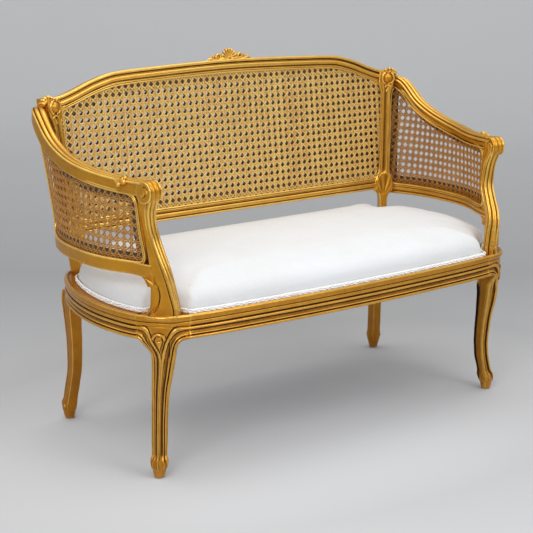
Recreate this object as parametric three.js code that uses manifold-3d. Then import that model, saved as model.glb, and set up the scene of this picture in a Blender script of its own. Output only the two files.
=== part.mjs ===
// A carved and caned cabriole settee in the corbeille form: the back and the arms wrap round
// one upholstered seat. Millimetres, +Z up, front towards -Y, resting on the plane z = 0.
import * as THREE from 'three';
import { mergeVertices } from 'three/addons/utils/BufferGeometryUtils.js';
import ManifoldModule from 'manifold-3d';

// Driving dimensions of the seat frame
const seatHalfWidth = 589;
const seatDepth = 549;
const frontOverhang = 77;
const railTop = 392;
const railHeight = 57;
const railThickness = 46;
const blockThickness = 62;
const mouldDepth = 7;
const ledgeInset = 8;
const ledgeDrop = 4;
const railBottom = railTop - railHeight;
const ledgeTop = railTop - ledgeDrop;

// Legs
const frontFootOutset = 8;
const frontFootInset = 41;
const rearFootOutset = 11;
const rearFootInset = 7;
const legSweep = 14;
const legWaist = 15;
const legRise = 12;

// Arms and side panels
const sideFlare = 7;
const sideSetBack = 21;
const sideOverlap = 83;
const sideHeight = 200;
const armEndDrop = 2;
const armDepth = 34;
const armWidth = 34;
const scrollRadius = 25.5;
const scrollWidth = 38;
const scrollBack = 9;
const lowerSideGap = 4.5;
const lowerSideHeight = 29;
const lowerSideWidth = 26;

// Arm posts
const postTopDrop = 38.4;
const postOutset = -12;
const postInset = 20;
const postLean = 22.5;
const postSweep = 46;
const postDepth = 46;
const postWidth = 38;
const postTurn = 48;
const bracketRadius = 20;
const bracketWidth = 22;

// Back and corner stiles
const stileOutset = -17;
const stileInset = -58;
const stileLeanShare = 0.102;
const backLeanShare = 0.114;
const stileFaceTurn = 20;
const stileRise = 2;
const stileHalfFace = 13;
const stileThickness = 34;
const backSetBack = 24;
const stileReturnShare = 0.9;
const backHeight = 380;
const crestSpread = 60;
const crestFall = 64;
const crestHeight = 34;
const crestDepth = 32;
const lowerBackGap = 18;
const lowerBackHeight = 32;
const lowerBackDepth = 26;

// Carved crest shell, corner rosettes and leaf curls
const shellHalfWidth = 70;
const shellHeight = 30;
const shellDepth = 16;
const shellLobes = 5;
const shellFan = 62;
const rosetteRadius = 13;
const rosetteStand = 9;
const curlRadius = 9;
const curlLength = 24;
const curlInset = 16;

// Cane panels
const caneThickness = 2.6;
const caneMargin = 20;
const caneTuck = 5;
const caneLayerOffset = 8;
const caneHoleShare = 0.62;
const backCaneColumns = 13;
const backCaneRows = 4;
const sideCaneColumns = 6;
const sideCaneRows = 4;

// Upholstery
const crownRise = 78;
const cushionFrontInset = 14;
const cushionSideInset = 27;
const cushionBackInset = 20;
const coverThickness = 1.6;
const cushionNotchGap = 6;
const gimpWidth = 12;
const gimpThickness = 2.6;
const burlapThickness = 1;
const webThickness = 2;
const webWidth = 60;
const websAcross = 2;
const websAlong = 5;
const coverTuck = 4;
const dustThickness = 0.8;
const dustInset = 18;

// Joinery
const fitGap = 0.3;
const looseGap = 0.6;
const grooveGap = 0.5;
const tenonThickness = 12;
const tenonHeight = 34;
const tenonLength = 24;
const smallTenonThickness = 9;
const smallTenonWidth = 16;
const smallTenonLength = 14;
const braceHeight = 34;
const screwRadius = 2.5;
const screwHeadRadius = 5;
const screwHeadHeight = 3;
const screwBite = 18;
const screwSeatShare = 0.7;
const glideRadius = 9;
const glideHeight = 3;
const overrun = 4;
const crestSteps = 16;
const braceWidth = 30;
const dustGap = 6;
const cushionRound = 150;

// Half outline of the seat seen from above, as shares of half width and depth
const planShares = [
  [0, 0], [0.39, 0.009], [0.747, 0.036], [0.869, 0.066], [0.954, 0.173], [0.997, 0.359],
  [0.997, 0.55], [0.959, 0.75], [0.9, 0.902], [0.844, 0.969], [0.73, 0.996], [0.34, 1], [0, 1],
];
// Places along that outline, as shares of one step between its points: corners, and the
// joints where rails meet the leg blocks
const planStationShares = { frontJoint: 2, frontCorner: 3, sideJoint: 4, rearSideJoint: 8, rearCorner: 9, backJoint: 10 };
// Rail moulding from the bottom up: depth share of mouldDepth, height share of railHeight
const railMouldShares = [
  [0.6, 0], [0, 0.05], [0, 0.12], [0.8, 0.17], [0.8, 0.34], [0.1, 0.38], [0.1, 0.47],
  [0.9, 0.54], [0.9, 0.74], [0.2, 0.86], [0, 0.93], [0.5, 1],
];
// Leg stations: height, outward and backward shares of legSweep, size and roundness shares
const frontLegShares = [
  [0, 1, 0, 0.8, 1], [0.055, 0.97, 0, 1.08, 1], [0.068, 0.95, 0, 1.3, 1], [0.115, 0.9, 0.05, 1.3, 0.6],
  [0.15, 0.79, 0.15, 1.02, 0.3], [0.27, 0.47, 0.57, 0.97, 0], [0.39, 0.29, 0.71, 0.97, 0],
  [0.51, 0.26, 0.53, 1.02, 0], [0.63, 0.25, 0.2, 1.1, 0], [0.75, 0.2, -0.3, 1.26, 0],
  [0.87, 0.1, -0.6, 1.42, 0], [0.95, -0.3, -0.35, 1.62, 0], [1.03, -0.7, 0, 1.9, 0],
];
const rearLegShares = [
  [0, 1, 1.21, 0.8, 1], [0.055, 1, 1.2, 1.08, 1], [0.068, 0.98, 1.18, 1.2, 1], [0.115, 0.95, 1.15, 1.2, 0.6],
  [0.15, 0.8, 0.95, 1, 0.3], [0.27, 0.5, 0.5, 0.92, 0], [0.39, 0.2, 0.1, 0.92, 0],
  [0.51, 0.1, 0, 0.95, 0], [0.63, 0.07, 0, 1, 0], [0.75, 0.1, 0.15, 1.06, 0],
  [0.87, 0.1, 0.25, 1.2, 0], [0.95, -0.1, 0, 1.5, 0], [1.03, -0.6, -0.4, 1.8, 0],
];
// Leg sections as shares of the leg's half size, carved outer corner at (1, 1)
const carvedLegShares = [
  [1, 0.84], [0.84, 1], [0.5, 1], [0.34, 0.82], [-0.3, 0.82], [-0.46, 1], [-0.9, 1], [-1, 0.9],
  [-1, -0.74], [-0.74, -1], [0.9, -1], [1, -0.9], [1, -0.46], [0.82, -0.3], [0.82, 0.34], [1, 0.5],
];
const plainLegShares = [
  [1, 0.5], [0.5, 1], [-0.4, 1], [-1, 0.9], [-1, -0.5], [-0.5, -1], [0.9, -1], [1, -0.4],
];
// Side panel stations from the front back: outer x of the lower rail and of the arm as shares
// of sideHalfWidth, and the arm's height over its front as a share of armRise
const sideShares = [
  [0.884, 0.905, 0.015], [0.923, 0.924, 0], [0.968, 0.948, 0.012], [0.99, 0.975, 0.063], [0.993, 0.992, 0.134],
  [0.987, 0.998, 0.25], [0.965, 0.998, 0.45], [0.923, 0.993, 0.8], [0.864, 0.968, 1],
];
// Arm section: across share of armWidth, up share of armDepth, reeded on top
const armShares = [
  [-0.5, -0.5], [0.5, -0.5], [0.5, 0.2], [0.4, 0.38], [0.2, 0.5], [0, 0.44], [-0.2, 0.5], [-0.42, 0.4],
  [-0.5, 0.22],
];
// Post stations: height, back, depth, width, lean and turn shares
const postShares = [
  [0, 0.2, 1.39, 0.9, 0.11, 1], [0.04, 0.2, 1.37, 0.92, 0.11, 1], [0.08, 0.2, 1.3, 0.92, 0.12, 0.98],
  [0.24, 0.22, 1.05, 0.92, 0.24, 0.88], [0.31, 0.24, 0.98, 0.9, 0.36, 0.82], [0.43, 0.42, 0.84, 0.87, 0.44, 0.7],
  [0.54, 0.68, 0.68, 0.83, 0.48, 0.6], [0.66, 0.93, 0.57, 0.8, 0.56, 0.5], [0.77, 1, 0.55, 0.77, 0.77, 0.42],
  [0.89, 0.98, 0.66, 0.77, 0.93, 0.35], [1, 0.85, 0.96, 0.79, 1, 0.3],
];
// Post section, broad face outwards, beads along the front edge
const postSectionShares = [
  [-0.5, -0.42], [-0.36, -0.5], [0.2, -0.5], [0.3, -0.42], [0.42, -0.44], [0.5, -0.34], [0.5, 0.4],
  [0.42, 0.5], [-0.42, 0.5], [-0.5, 0.42],
];
// Stile stations: level (0 foot, 1 lower back rail, 2 top), half face and outer return shares
const stileShares = [
  [0, 0.87, 0.2], [0.64, 0.87, 0.2], [0.75, 1.18, 0.5], [0.84, 2.08, 1], [1.03, 2.08, 1], [1.08, 1.6, 1],
  [1.14, 1.2, 1], [1.47, 1, 1], [1.77, 1, 1], [1.83, 1.2, 1], [1.88, 1.7, 1], [1.945, 1.7, 0.95],
  [2, 1.6, 0.45],
];
// Crest contour from the centre outwards: across share and fall share
const crestShares = [
  [0, 0], [0.22, 0.03], [0.44, 0.09], [0.58, 0.14], [0.66, 0.2], [0.76, 0.42], [0.85, 0.71], [0.93, 0.92], [1.02, 1],
];
// Crest and lower back rail sections: depth and height shares, moulded in front
const crestSectionShares = [
  [-0.5, -0.5], [0.38, -0.5], [0.5, -0.36], [0.28, -0.18], [0.24, 0.08], [0.5, 0.28],
  [0.5, 0.44], [0.34, 0.5], [-0.42, 0.5], [-0.5, 0.4],
];
const lowerSectionShares = [
  [-0.5, -0.5], [0.36, -0.5], [0.5, -0.38], [0.5, -0.24], [0.3, -0.12], [0.3, 0.12], [0.5, 0.24],
  [0.5, 0.38], [0.36, 0.5], [-0.5, 0.5],
];
// Cushion profile from its foot to its crown: inset and rise shares
const cushionShares = [
  [0, 0], [0, 0.17], [-0.015, 0.36], [0.015, 0.58], [0.08, 0.74], [0.2, 0.865], [0.42, 0.95], [1, 1],
];
// Plan stations of the cushion's outline along its front and its sides
const cushionStationShares = {
  front: [0.5, 1, 1.4, 1.7, 2, 2.25], side: [4.35, 4.7, 5.1, 5.6, 6.1, 6.6, 7.1, 7.5], turn: 4, back: 10.2,
};
// Scrolls either side of the shell: across, rise and length shares
const shellScrollShares = [[0.45, 0.14, 0.24], [0.78, 0.1, 0.22]];
// Where corner braces meet the rails and where their screws go, as plan stations
const braceStations = { front: [1.8, 4.65, 1.69, 4.8], rear: [6.85, 10.26, 6.68, 10.38] };

const gold = { color: 0xc08a2c, roughness: 0.38, metalness: 0.55 };
const cane = { color: 0xd9a45a, roughness: 0.6, metalness: 0 };
const cloth = { color: 0xefeeec, roughness: 0.92, metalness: 0 };
const braid = { color: 0xf6f5f2, roughness: 0.85, metalness: 0 };
const beech = { color: 0xb98a58, roughness: 0.7, metalness: 0 };
const jute = { color: 0xa98e62, roughness: 0.95, metalness: 0 };
const filling = { color: 0xe6dcc0, roughness: 0.95, metalness: 0 };
const cambric = { color: 0x2c2a28, roughness: 0.95, metalness: 0 };
const steel = { color: 0x9a9a98, roughness: 0.35, metalness: 0.9 };

const wasm = await ManifoldModule();
wasm.setup();

const zAxis = new THREE.Vector3(0, 0, 1);
const point = (x, y, z = 0) => new THREE.Vector3(x, y, z);
const degrees = THREE.MathUtils.degToRad;
const mirrored = (vector, side) => point(side * vector.x, vector.y, vector.z);

// Solids and geometry; a geometry that faces inwards is turned right side out
function solidOf(geometry) {
  const plain = geometry.index ? geometry.toNonIndexed() : geometry.clone();
  plain.deleteAttribute('normal');
  plain.deleteAttribute('uv');
  const merged = mergeVertices(plain);
  const corners = Array.from(merged.index.array);
  const at = (i) => new THREE.Vector3().fromBufferAttribute(merged.attributes.position, corners[i]);
  let volume = 0;
  for (let i = 0; i < corners.length; i += 3) volume += at(i).dot(at(i + 1).cross(at(i + 2)));
  if (volume < 0) corners.reverse();
  return new wasm.Manifold(new wasm.Mesh({
    numProp: 3,
    vertProperties: new Float32Array(merged.attributes.position.array),
    triVerts: new Uint32Array(corners),
  }));
}

function geometryOf(solid) {
  const mesh = solid.getMesh();
  const indexed = new THREE.BufferGeometry();
  indexed.setAttribute('position', new THREE.BufferAttribute(mesh.vertProperties, mesh.numProp));
  indexed.setIndex(new THREE.BufferAttribute(mesh.triVerts, 1));
  const geometry = indexed.toNonIndexed();
  geometry.computeVertexNormals();
  return geometry;
}

// A list of triangles made into a solid
function solidFromTriangles(triangles) {
  const positions = triangles.flat().flatMap((corner) => corner.toArray());
  const geometry = new THREE.BufferGeometry();
  geometry.setAttribute('position', new THREE.Float32BufferAttribute(positions, 3));
  return solidOf(geometry);
}

// A solid through stations, each an origin, two axes and a flat outline in those axes
function loft(stations, looped = false) {
  const rings = stations.map(({ origin, across, up, outline }) => outline.map(([a, b]) => (
    origin.clone().addScaledVector(across, a).addScaledVector(up, b))));
  const triangles = [];
  const spans = looped ? rings.length : rings.length - 1;
  for (let i = 0; i < spans; i += 1) {
    const ring = rings[i];
    const next = rings[(i + 1) % rings.length];
    for (let j = 0; j < ring.length; j += 1) {
      const k = (j + 1) % ring.length;
      triangles.push([ring[j], ring[k], next[k]], [ring[j], next[k], next[j]]);
    }
  }
  if (!looped) {
    for (const [index, facing] of [[0, false], [rings.length - 1, true]]) {
      const flat = stations[index].outline.map(([a, b]) => new THREE.Vector2(a, b));
      for (const [a, b, c] of THREE.ShapeUtils.triangulateShape(flat, [])) {
        const ring = rings[index];
        const counter = THREE.ShapeUtils.isClockWise(flat) === facing;
        triangles.push(counter ? [ring[a], ring[c], ring[b]] : [ring[a], ring[b], ring[c]]);
      }
    }
  }
  return solidFromTriangles(triangles);
}

// An upright prism over a flat outline
function prism(outline, bottom, top) {
  return loft([bottom, top].map((z) => (
    { origin: point(0, 0, z), across: point(1, 0), up: point(0, 1), outline })));
}

function boxAt(centre, axes, sizes) {
  const geometry = new THREE.BoxGeometry(...sizes);
  const frame = new THREE.Matrix4().makeBasis(...axes).setPosition(centre);
  return solidOf(geometry.applyMatrix4(frame));
}

function rodAlong(start, direction, radius, length, sides = 12) {
  const geometry = new THREE.CylinderGeometry(radius, radius, length, sides);
  geometry.translate(0, length / 2, 0);
  const turn = new THREE.Quaternion().setFromUnitVectors(point(0, 1), direction.clone().normalize());
  return solidOf(geometry.applyQuaternion(turn).translate(start.x, start.y, start.z));
}

const scaled = (shares, a, b) => shares.map(([p, q]) => [p * a, q * b]);

// An outline moved outwards by a distance, corners mitred
function grown(outline, by) {
  if (!by) return outline;
  const corners = outline.map(([a, b]) => new THREE.Vector2(a, b));
  const turn = THREE.ShapeUtils.isClockWise(corners) ? -by : by;
  return corners.map((corner, i) => {
    const before = corners[(i + corners.length - 1) % corners.length];
    const after = corners[(i + 1) % corners.length];
    const into = corner.clone().sub(before).normalize();
    const out = after.clone().sub(corner).normalize();
    const push = new THREE.Vector2(into.y + out.y, -into.x - out.x);
    push.multiplyScalar(turn / (1 + into.dot(out)));
    return [corner.x + push.x, corner.y + push.y];
  });
}

// Plan curve of the seat, its stations numbered from the front centre round to the right
const planPoints = [];
for (const [a, b] of planShares) planPoints.push(point(a * seatHalfWidth, b * seatDepth - frontOverhang));
for (const [a, b] of planShares.slice(1, -1).reverse()) {
  planPoints.push(point(-a * seatHalfWidth, b * seatDepth - frontOverhang));
}
const planCurve = new THREE.CatmullRomCurve3(planPoints, true, 'centripetal');
const planCount = planPoints.length;

function planAt(station) {
  const t = ((station / planCount) % 1 + 1) % 1;
  const tangent = planCurve.getTangent(t);
  return { at: planCurve.getPoint(t), tangent, outward: point(tangent.y, -tangent.x) };
}

// Heights that follow from the seat up
const cushionCrown = railTop + crownRise;
const lowerSideMiddle = cushionCrown + lowerSideGap + lowerSideHeight / 2;
const lowerBackMiddle = cushionCrown + lowerBackGap + lowerBackHeight / 2;
const armFrontTop = lowerSideMiddle + sideHeight;
const backCentreTop = lowerBackMiddle + backHeight;
const stileTop = backCentreTop - crestFall + stileRise;
const armRise = stileTop - armEndDrop - armFrontTop;

// Feet, posts and stiles stand off the rounded corners of the seat
const rearStation = planCount / 2;
const frontCorner = planPoints[planStationShares.frontCorner];
const rearCorner = planPoints[planStationShares.rearCorner];
const frontFoot = frontCorner.clone().add(point(frontFootOutset, frontFootInset));
const rearFoot = rearCorner.clone().add(point(rearFootOutset, rearFootInset));
const postPlace = frontCorner.clone().add(point(postOutset, postInset));
const stilePlace = rearCorner.clone().add(point(stileOutset, stileInset));
const postHeight = armFrontTop - ledgeTop - fitGap - postTopDrop;

function spread(from, to, steps) {
  return Array.from({ length: steps + 1 }, (_, i) => from + ((to - from) * i) / steps);
}

// Seat rails and leg blocks share one moulded section
function railSection(thickness) {
  const face = scaled(railMouldShares, -mouldDepth, railHeight);
  return [
    ...face, [-ledgeInset, railHeight], [-ledgeInset, railHeight - ledgeDrop],
    [-thickness, railHeight - ledgeDrop], [-thickness, 0],
  ];
}

function railBody(from, to, steps, thickness, shorten, extra = 0) {
  const stations = spread(from, to, steps).map((station, i, all) => {
    const { at, tangent, outward } = planAt(station);
    const end = i === 0 ? 1 : i === all.length - 1 ? -1 : 0;
    const origin = at.addScaledVector(tangent, end * shorten).setZ(railBottom);
    const block = [[-thickness, -extra], [extra, -extra], [extra, railHeight + extra], [-thickness, railHeight + extra]];
    return { origin, across: outward, up: zAxis, outline: extra ? block : railSection(thickness) };
  });
  return loft(stations);
}

function railTenon(station, direction, clearance) {
  const { at, tangent, outward } = planAt(station);
  const reach = tenonLength + clearance;
  const centre = at.addScaledVector(outward, -railThickness / 2)
    .addScaledVector(tangent, direction * (reach - overrun) / 2)
    .setZ(railBottom + railHeight / 2);
  const sizes = [reach + overrun, tenonThickness + 2 * clearance, tenonHeight + 2 * clearance];
  return boxAt(centre, [tangent, outward, zAxis], sizes);
}

const { frontJoint, sideJoint, rearSideJoint, backJoint } = planStationShares;

const railSpans = {
  front: [-frontJoint, frontJoint, 10],
  back: [backJoint, planCount - backJoint, 8],
  right: [sideJoint, rearSideJoint, 8],
  left: [-rearSideJoint, -sideJoint, 8],
};
const blockSteps = 5;

function seatRail([from, to, steps]) {
  let rail = railBody(from, to, steps, railThickness, fitGap);
  rail = rail.add(railTenon(from, -1, 0)).add(railTenon(to, 1, 0));
  return rail;
}

// Legs run up into moulded corner blocks that take the rail tenons
function legOutline(section, half, roundness) {
  return section.map(([a, b]) => {
    const reach = Math.hypot(a, b);
    const round = [a / reach, b / reach];
    return [
      half * THREE.MathUtils.lerp(a, round[0], roundness),
      half * THREE.MathUtils.lerp(b, round[1], roundness),
    ];
  });
}

function blockSpan(side, isFront) {
  const [from, to] = isFront ? [frontJoint, sideJoint] : [rearSideJoint, backJoint];
  return side > 0 ? [from, to] : [-to, -from];
}

function legSolid(side, isFront) {
  const shares = isFront ? frontLegShares : rearLegShares;
  const section = isFront ? carvedLegShares : plainLegShares;
  const place = isFront ? frontFoot : rearFoot;
  const facing = isFront ? -1 : 1;
  const stations = shares.map(([height, out, back, size, roundness]) => ({
    origin: point(
      side * (place.x + (out - shares[0][1]) * legSweep),
      place.y + (back - shares[0][2]) * legSweep,
      glideHeight + height * (railBottom - glideHeight),
    ),
    across: point(side, 0),
    up: point(0, facing),
    outline: legOutline(section, size * legWaist, roundness),
  }));
  const [first, last] = blockSpan(side, isFront);
  let leg = loft(stations).add(railBody(first, last, blockSteps, blockThickness, 0));
  leg = leg.subtract(railTenon(first, 1, fitGap)).subtract(railTenon(last, -1, fitGap));
  const foot = stations[0].origin;
  const hole = rodAlong(foot.clone().setZ(0), zAxis, screwRadius / 2 + looseGap, legRise + glideHeight, 8);
  return leg.subtract(hole);
}

function glideSolid(side, isFront) {
  const { x, y } = mirrored(isFront ? frontFoot : rearFoot, side);
  const disc = rodAlong(point(x, y, 0), zAxis, glideRadius, glideHeight - fitGap, 12);
  return disc.add(rodAlong(point(x, y, 0), zAxis, screwRadius / 2, legRise, 8));
}

// Side panels: a lower rail path and an arm path with the same stations, front to back
const sideStations = sideShares.length - 1;
const sideHalfWidth = seatHalfWidth + sideFlare;
const sideFront = postPlace.y + sideSetBack;
const sideRun = stilePlace.y + sideOverlap - sideFront;
const lowerSidePoints = sideShares.map(([low], i) => (
  point(low * sideHalfWidth, sideFront + (sideRun * i) / sideStations, lowerSideMiddle)));
const armPoints = sideShares.map(([, high, rise], i) => (
  point(high * sideHalfWidth, sideFront + (sideRun * i) / sideStations, armFrontTop + rise * armRise)));
const lowerSideCurve = new THREE.CatmullRomCurve3(lowerSidePoints, false, 'catmullrom');
const armCurve = new THREE.CatmullRomCurve3(armPoints, false, 'catmullrom');
const sideShareAt = (y) => THREE.MathUtils.clamp((y - sideFront) / sideRun, 0, 1);

// Outer surface of a side panel at a depth and height
function sideSurface(y, z) {
  const share = sideShareAt(y);
  const low = lowerSideCurve.getPoint(share);
  const high = armCurve.getPoint(share);
  const rise = (z - low.z) / (high.z - low.z);
  const slope = (curve) => curve.getTangent(share).x / curve.getTangent(share).y;
  const lean = THREE.MathUtils.lerp(slope(lowerSideCurve), slope(armCurve), rise);
  const outward = point(1, -lean).normalize();
  return { at: point(THREE.MathUtils.lerp(low.x, high.x, rise), y, z), outward, armTop: high.z };
}

function pathFrame(curve, share, side) {
  const tangent = curve.getTangent(share);
  const across = point(tangent.y, -tangent.x).normalize();
  const up = across.clone().cross(tangent.clone().negate()).normalize();
  if (up.z < 0) up.negate();
  return {
    at: mirrored(curve.getPoint(share), side), across: mirrored(across, side), up: mirrored(up, side),
  };
}

function armBody(side, clearance = 0) {
  const outline = grown(scaled(armShares, armWidth, armDepth), clearance);
  const stations = spread(0, 1, 10).map((share) => {
    const { at, across, up } = pathFrame(armCurve, share * 0.985 + 0.015, side);
    const origin = at.addScaledVector(across, -armWidth / 2).addScaledVector(up, -armDepth / 2);
    return { origin, across, up, outline };
  });
  const front = pathFrame(armCurve, sideShareAt(sideFront + scrollBack), side);
  const centre = front.at.clone().addScaledVector(front.across, -armWidth / 2)
    .setZ(front.at.z - scrollRadius);
  const start = centre.addScaledVector(front.across, -scrollWidth / 2);
  const scroll = rodAlong(start, front.across, scrollRadius, scrollWidth, 20);
  return loft(stations).add(scroll);
}

function armSolid(side) {
  const arm = armBody(side).subtract(postSolid(side, looseGap));
  return arm.subtract(stileSolid(side, looseGap)).subtract(behindStile(side));
}

// Arm posts stand on the leg blocks and rise in a reversed curve to the arm scrolls
function postCentre([height, back, , , lean]) {
  const z = ledgeTop + fitGap + height * postHeight;
  return point(postPlace.x + lean * postLean, postPlace.y + back * postSweep, z);
}

function postAxes(turnShare) {
  const turn = turnShare * degrees(postTurn);
  return { across: point(Math.cos(turn), -Math.sin(turn)), up: point(Math.sin(turn), Math.cos(turn)) };
}

function postSolid(side, clearance = 0, widening = 1) {
  const stations = postShares.map((row, i) => {
    const origin = mirrored(postCentre(row), side);
    const end = i === 0 ? -1 : i === postShares.length - 1 ? 1 : 0;
    origin.z += end * clearance;
    const outline = scaled(postSectionShares, row[3] * postWidth * widening, row[2] * postDepth);
    const { across, up } = postAxes(row[5]);
    return { origin, across: mirrored(across, side), up: mirrored(up, side), outline: grown(outline, clearance) };
  });
  return loft(stations);
}

// Where the panel's middle meets the rear face of a post
function postRearEdge(z) {
  const rows = postShares.map((row) => {
    const centre = postCentre(row);
    const turn = row[5] * degrees(postTurn);
    const panel = sideSurface(centre.y, centre.z).at.x - armWidth / 2 - centre.x;
    return [centre.z, centre.y + (row[2] * postDepth) / (2 * Math.cos(turn)) - panel * Math.tan(turn)];
  });
  return interpolated(rows, z);
}

// Straight-line reading of a table of pairs, held at both ends
function interpolated(rows, at) {
  if (at <= rows[0][0]) return rows[0][1];
  for (let i = 1; i < rows.length; i += 1) {
    const [low, high] = [rows[i - 1], rows[i]];
    if (at <= high[0]) return THREE.MathUtils.mapLinear(at, low[0], high[0], low[1], high[1]);
  }
  return rows[rows.length - 1][1];
}

// Corner stiles: a moulded face towards the seat and a return round to the side panel
const stileTurn = degrees(stileFaceTurn);
const stileFace = point(Math.cos(stileTurn), -Math.sin(stileTurn));
const stileOutward = point(Math.sin(stileTurn), Math.cos(stileTurn));
const stileFoot = ledgeTop + fitGap;

function stileCentre(z) {
  const rise = z - ledgeTop;
  return point(stilePlace.x + stileLeanShare * rise, stilePlace.y + backLeanShare * rise, z);
}

const stileLevels = stileShares.map(([level]) => (level < 1
  ? THREE.MathUtils.lerp(stileFoot, lowerBackMiddle, level)
  : THREE.MathUtils.lerp(lowerBackMiddle, stileTop, level - 1)));
const stileHalfAt = (z) => stileHalfFace * interpolated(stileShares.map(([, half], i) => [stileLevels[i], half]), z);

// How far the return reaches from the face to the outer surface of the side panel
function stileReturnAt(z) {
  const centre = stileCentre(z);
  const level = THREE.MathUtils.clamp(z, lowerSideMiddle, armFrontTop + armRise);
  const outer = sideSurface(centre.y, level).at.x;
  const edge = centre.x + stileHalfAt(z) * stileFace.x + stileReturnShare * stileThickness * stileOutward.x;
  const share = interpolated(stileShares.map(([, , out], i) => [stileLevels[i], out]), z);
  return (share * (outer - edge)) / stileFace.x;
}

function stilePoint(z, a, b) {
  return stileCentre(z).addScaledVector(stileFace, a).addScaledVector(stileOutward, b);
}

function stileOutline(half, out) {
  const t = stileThickness;
  return [
    [-half, 0.06 * t], [-0.8 * half, 0], [0.8 * half, 0], [half, 0.05 * t], [half + out, stileReturnShare * t],
    [half + 0.75 * out, 1.15 * t], [-0.2 * half, 1.12 * t], [-half - 0.17 * t, 0.9 * t],
  ];
}

function stileSolid(side, clearance = 0) {
  const stations = stileLevels.map((z, i) => {
    const end = i === 0 ? -1 : i === stileLevels.length - 1 ? 1 : 0;
    return {
      origin: mirrored(stileCentre(z), side).add(point(0, 0, end * clearance)),
      across: mirrored(stileFace, side),
      up: mirrored(stileOutward, side),
      outline: grown(stileOutline(stileHalfAt(z), stileReturnAt(z)), clearance),
    };
  });
  return loft(stations);
}

// Everything on one side of a leaning line beside a stile, for cutting rails to length
function stileRegion(side, [fromA, toA], [fromB, toB]) {
  const outline = [[fromA, fromB], [toA, fromB], [toA, toB], [fromA, toB]];
  const stations = [railBottom, stileTop + stileThickness].map((z) => (
    { origin: mirrored(stileCentre(z), side), across: mirrored(stileFace, side), up: mirrored(stileOutward, side), outline }));
  return loft(stations);
}

const behindStile = (side) => (
  stileRegion(side, [-seatDepth, seatDepth], [stileReturnShare * stileThickness, seatDepth]));
const beyondStile = (side, z) => (
  stileRegion(side, [-stileHalfAt(z) - fitGap, seatDepth], [-seatDepth, seatDepth]));

// Back plane, leaning with the stiles
const backLean = Math.atan(backLeanShare);
const backFront = point(0, -Math.cos(backLean), Math.sin(backLean));
const backUp = point(0, Math.sin(backLean), Math.cos(backLean));
const backMiddle = (z) => stileCentre(z).y + backSetBack;
const crestHalfWidth = stilePlace.x + crestSpread;

const crestPoints = [];
for (const side of [-1, 1]) {
  const rows = side < 0 ? [...crestShares].reverse() : crestShares.slice(1);
  for (const [across, fall] of rows) {
    const z = backCentreTop - fall * crestFall - crestHeight / 2;
    crestPoints.push(point(side * across * crestHalfWidth, backMiddle(z), z));
  }
}
const crestCurve = new THREE.CatmullRomCurve3(crestPoints, false, 'centripetal');
const crestRows = crestCurve.getPoints(crestSteps).map(({ x, z }) => [x, z]);
const crestMiddleAt = (x) => interpolated(crestRows, x);
const crestEnd = crestMiddleAt(crestHalfWidth * 0.97);

function crestSolid(clearance = 0) {
  const outline = grown(scaled(crestSectionShares, crestDepth, crestHeight), clearance);
  const stations = spread(0, 1, crestSteps).map((share) => {
    const tangent = crestCurve.getTangent(share);
    const up = backFront.clone().cross(tangent);
    if (up.z < 0) up.negate();
    return { origin: crestCurve.getPoint(share), across: backFront, up: up.normalize(), outline };
  });
  let crest = loft(stations);
  for (const side of [-1, 1]) crest = crest.subtract(stileSolid(side, looseGap)).subtract(beyondStile(side, crestEnd));
  return crest;
}

function lowerBackSolid() {
  const outline = scaled(lowerSectionShares, lowerBackDepth, lowerBackHeight);
  const stations = [-stilePlace.x, stilePlace.x].map((x) => (
    { origin: point(x, backMiddle(lowerBackMiddle), lowerBackMiddle), across: backFront, up: backUp, outline }));
  let rail = loft(stations);
  for (const side of [-1, 1]) {
    rail = rail.subtract(stileSolid(side, looseGap)).subtract(beyondStile(side, lowerBackMiddle));
  }
  return rail;
}

// Bracket that rounds the corner between a lower side rail and its post
function bracketSolid(side) {
  const under = lowerSideMiddle - lowerSideHeight / 2;
  const { at, across, up } = pathFrame(lowerSideCurve, sideShareAt(postRearEdge(under)), side);
  const along = point(0, 1).projectOnPlane(across).normalize();
  const outline = [[-bracketRadius, overrun], [bracketRadius, overrun], [bracketRadius, 0]];
  for (const share of spread(0, 0.5, 4)) {
    const turn = Math.PI * share;
    outline.push([bracketRadius * (1 - Math.sin(turn)), bracketRadius * (Math.cos(turn) - 1)]);
  }
  outline.push([-bracketRadius, -bracketRadius]);
  const middle = at.addScaledVector(across, -lowerSideWidth / 2).addScaledVector(up, -lowerSideHeight / 2);
  const stations = [-0.5, 0.5].map((share) => (
    { origin: middle.clone().addScaledVector(across, share * bracketWidth), across: along, up, outline }));
  return loft(stations);
}

function lowerSideSolid(side) {
  const outline = scaled(lowerSectionShares, -lowerSideWidth, lowerSideHeight);
  const stations = spread(0, 0.96, 9).map((share) => {
    const { at, across, up } = pathFrame(lowerSideCurve, share, side);
    return { origin: at.addScaledVector(across, -lowerSideWidth / 2), across, up, outline };
  });
  const rail = loft(stations).add(bracketSolid(side)).subtract(stileSolid(side, looseGap)).subtract(behindStile(side));
  return rail.subtract(postSolid(side, looseGap, 3)).subtract(postSolid(side, looseGap));
}

// Cane is a sheet with rows of gaps, bent to a surface given for shares across and up;
// without its gaps and a little larger it cuts the grooves that it sits in
function caneMarks(surface, columns, rows) {
  const marks = (count, size) => {
    const margin = caneMargin / size;
    const pitch = (1 - 2 * margin) / count;
    const list = [0];
    for (let i = 0; i < count; i += 1) {
      const middle = margin + (i + 0.5) * pitch;
      list.push(middle - (pitch * caneHoleShare) / 2, middle + (pitch * caneHoleShare) / 2);
    }
    return [...list, 1];
  };
  return [marks(columns, surface.width), marks(rows, surface.height)];
}

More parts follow.
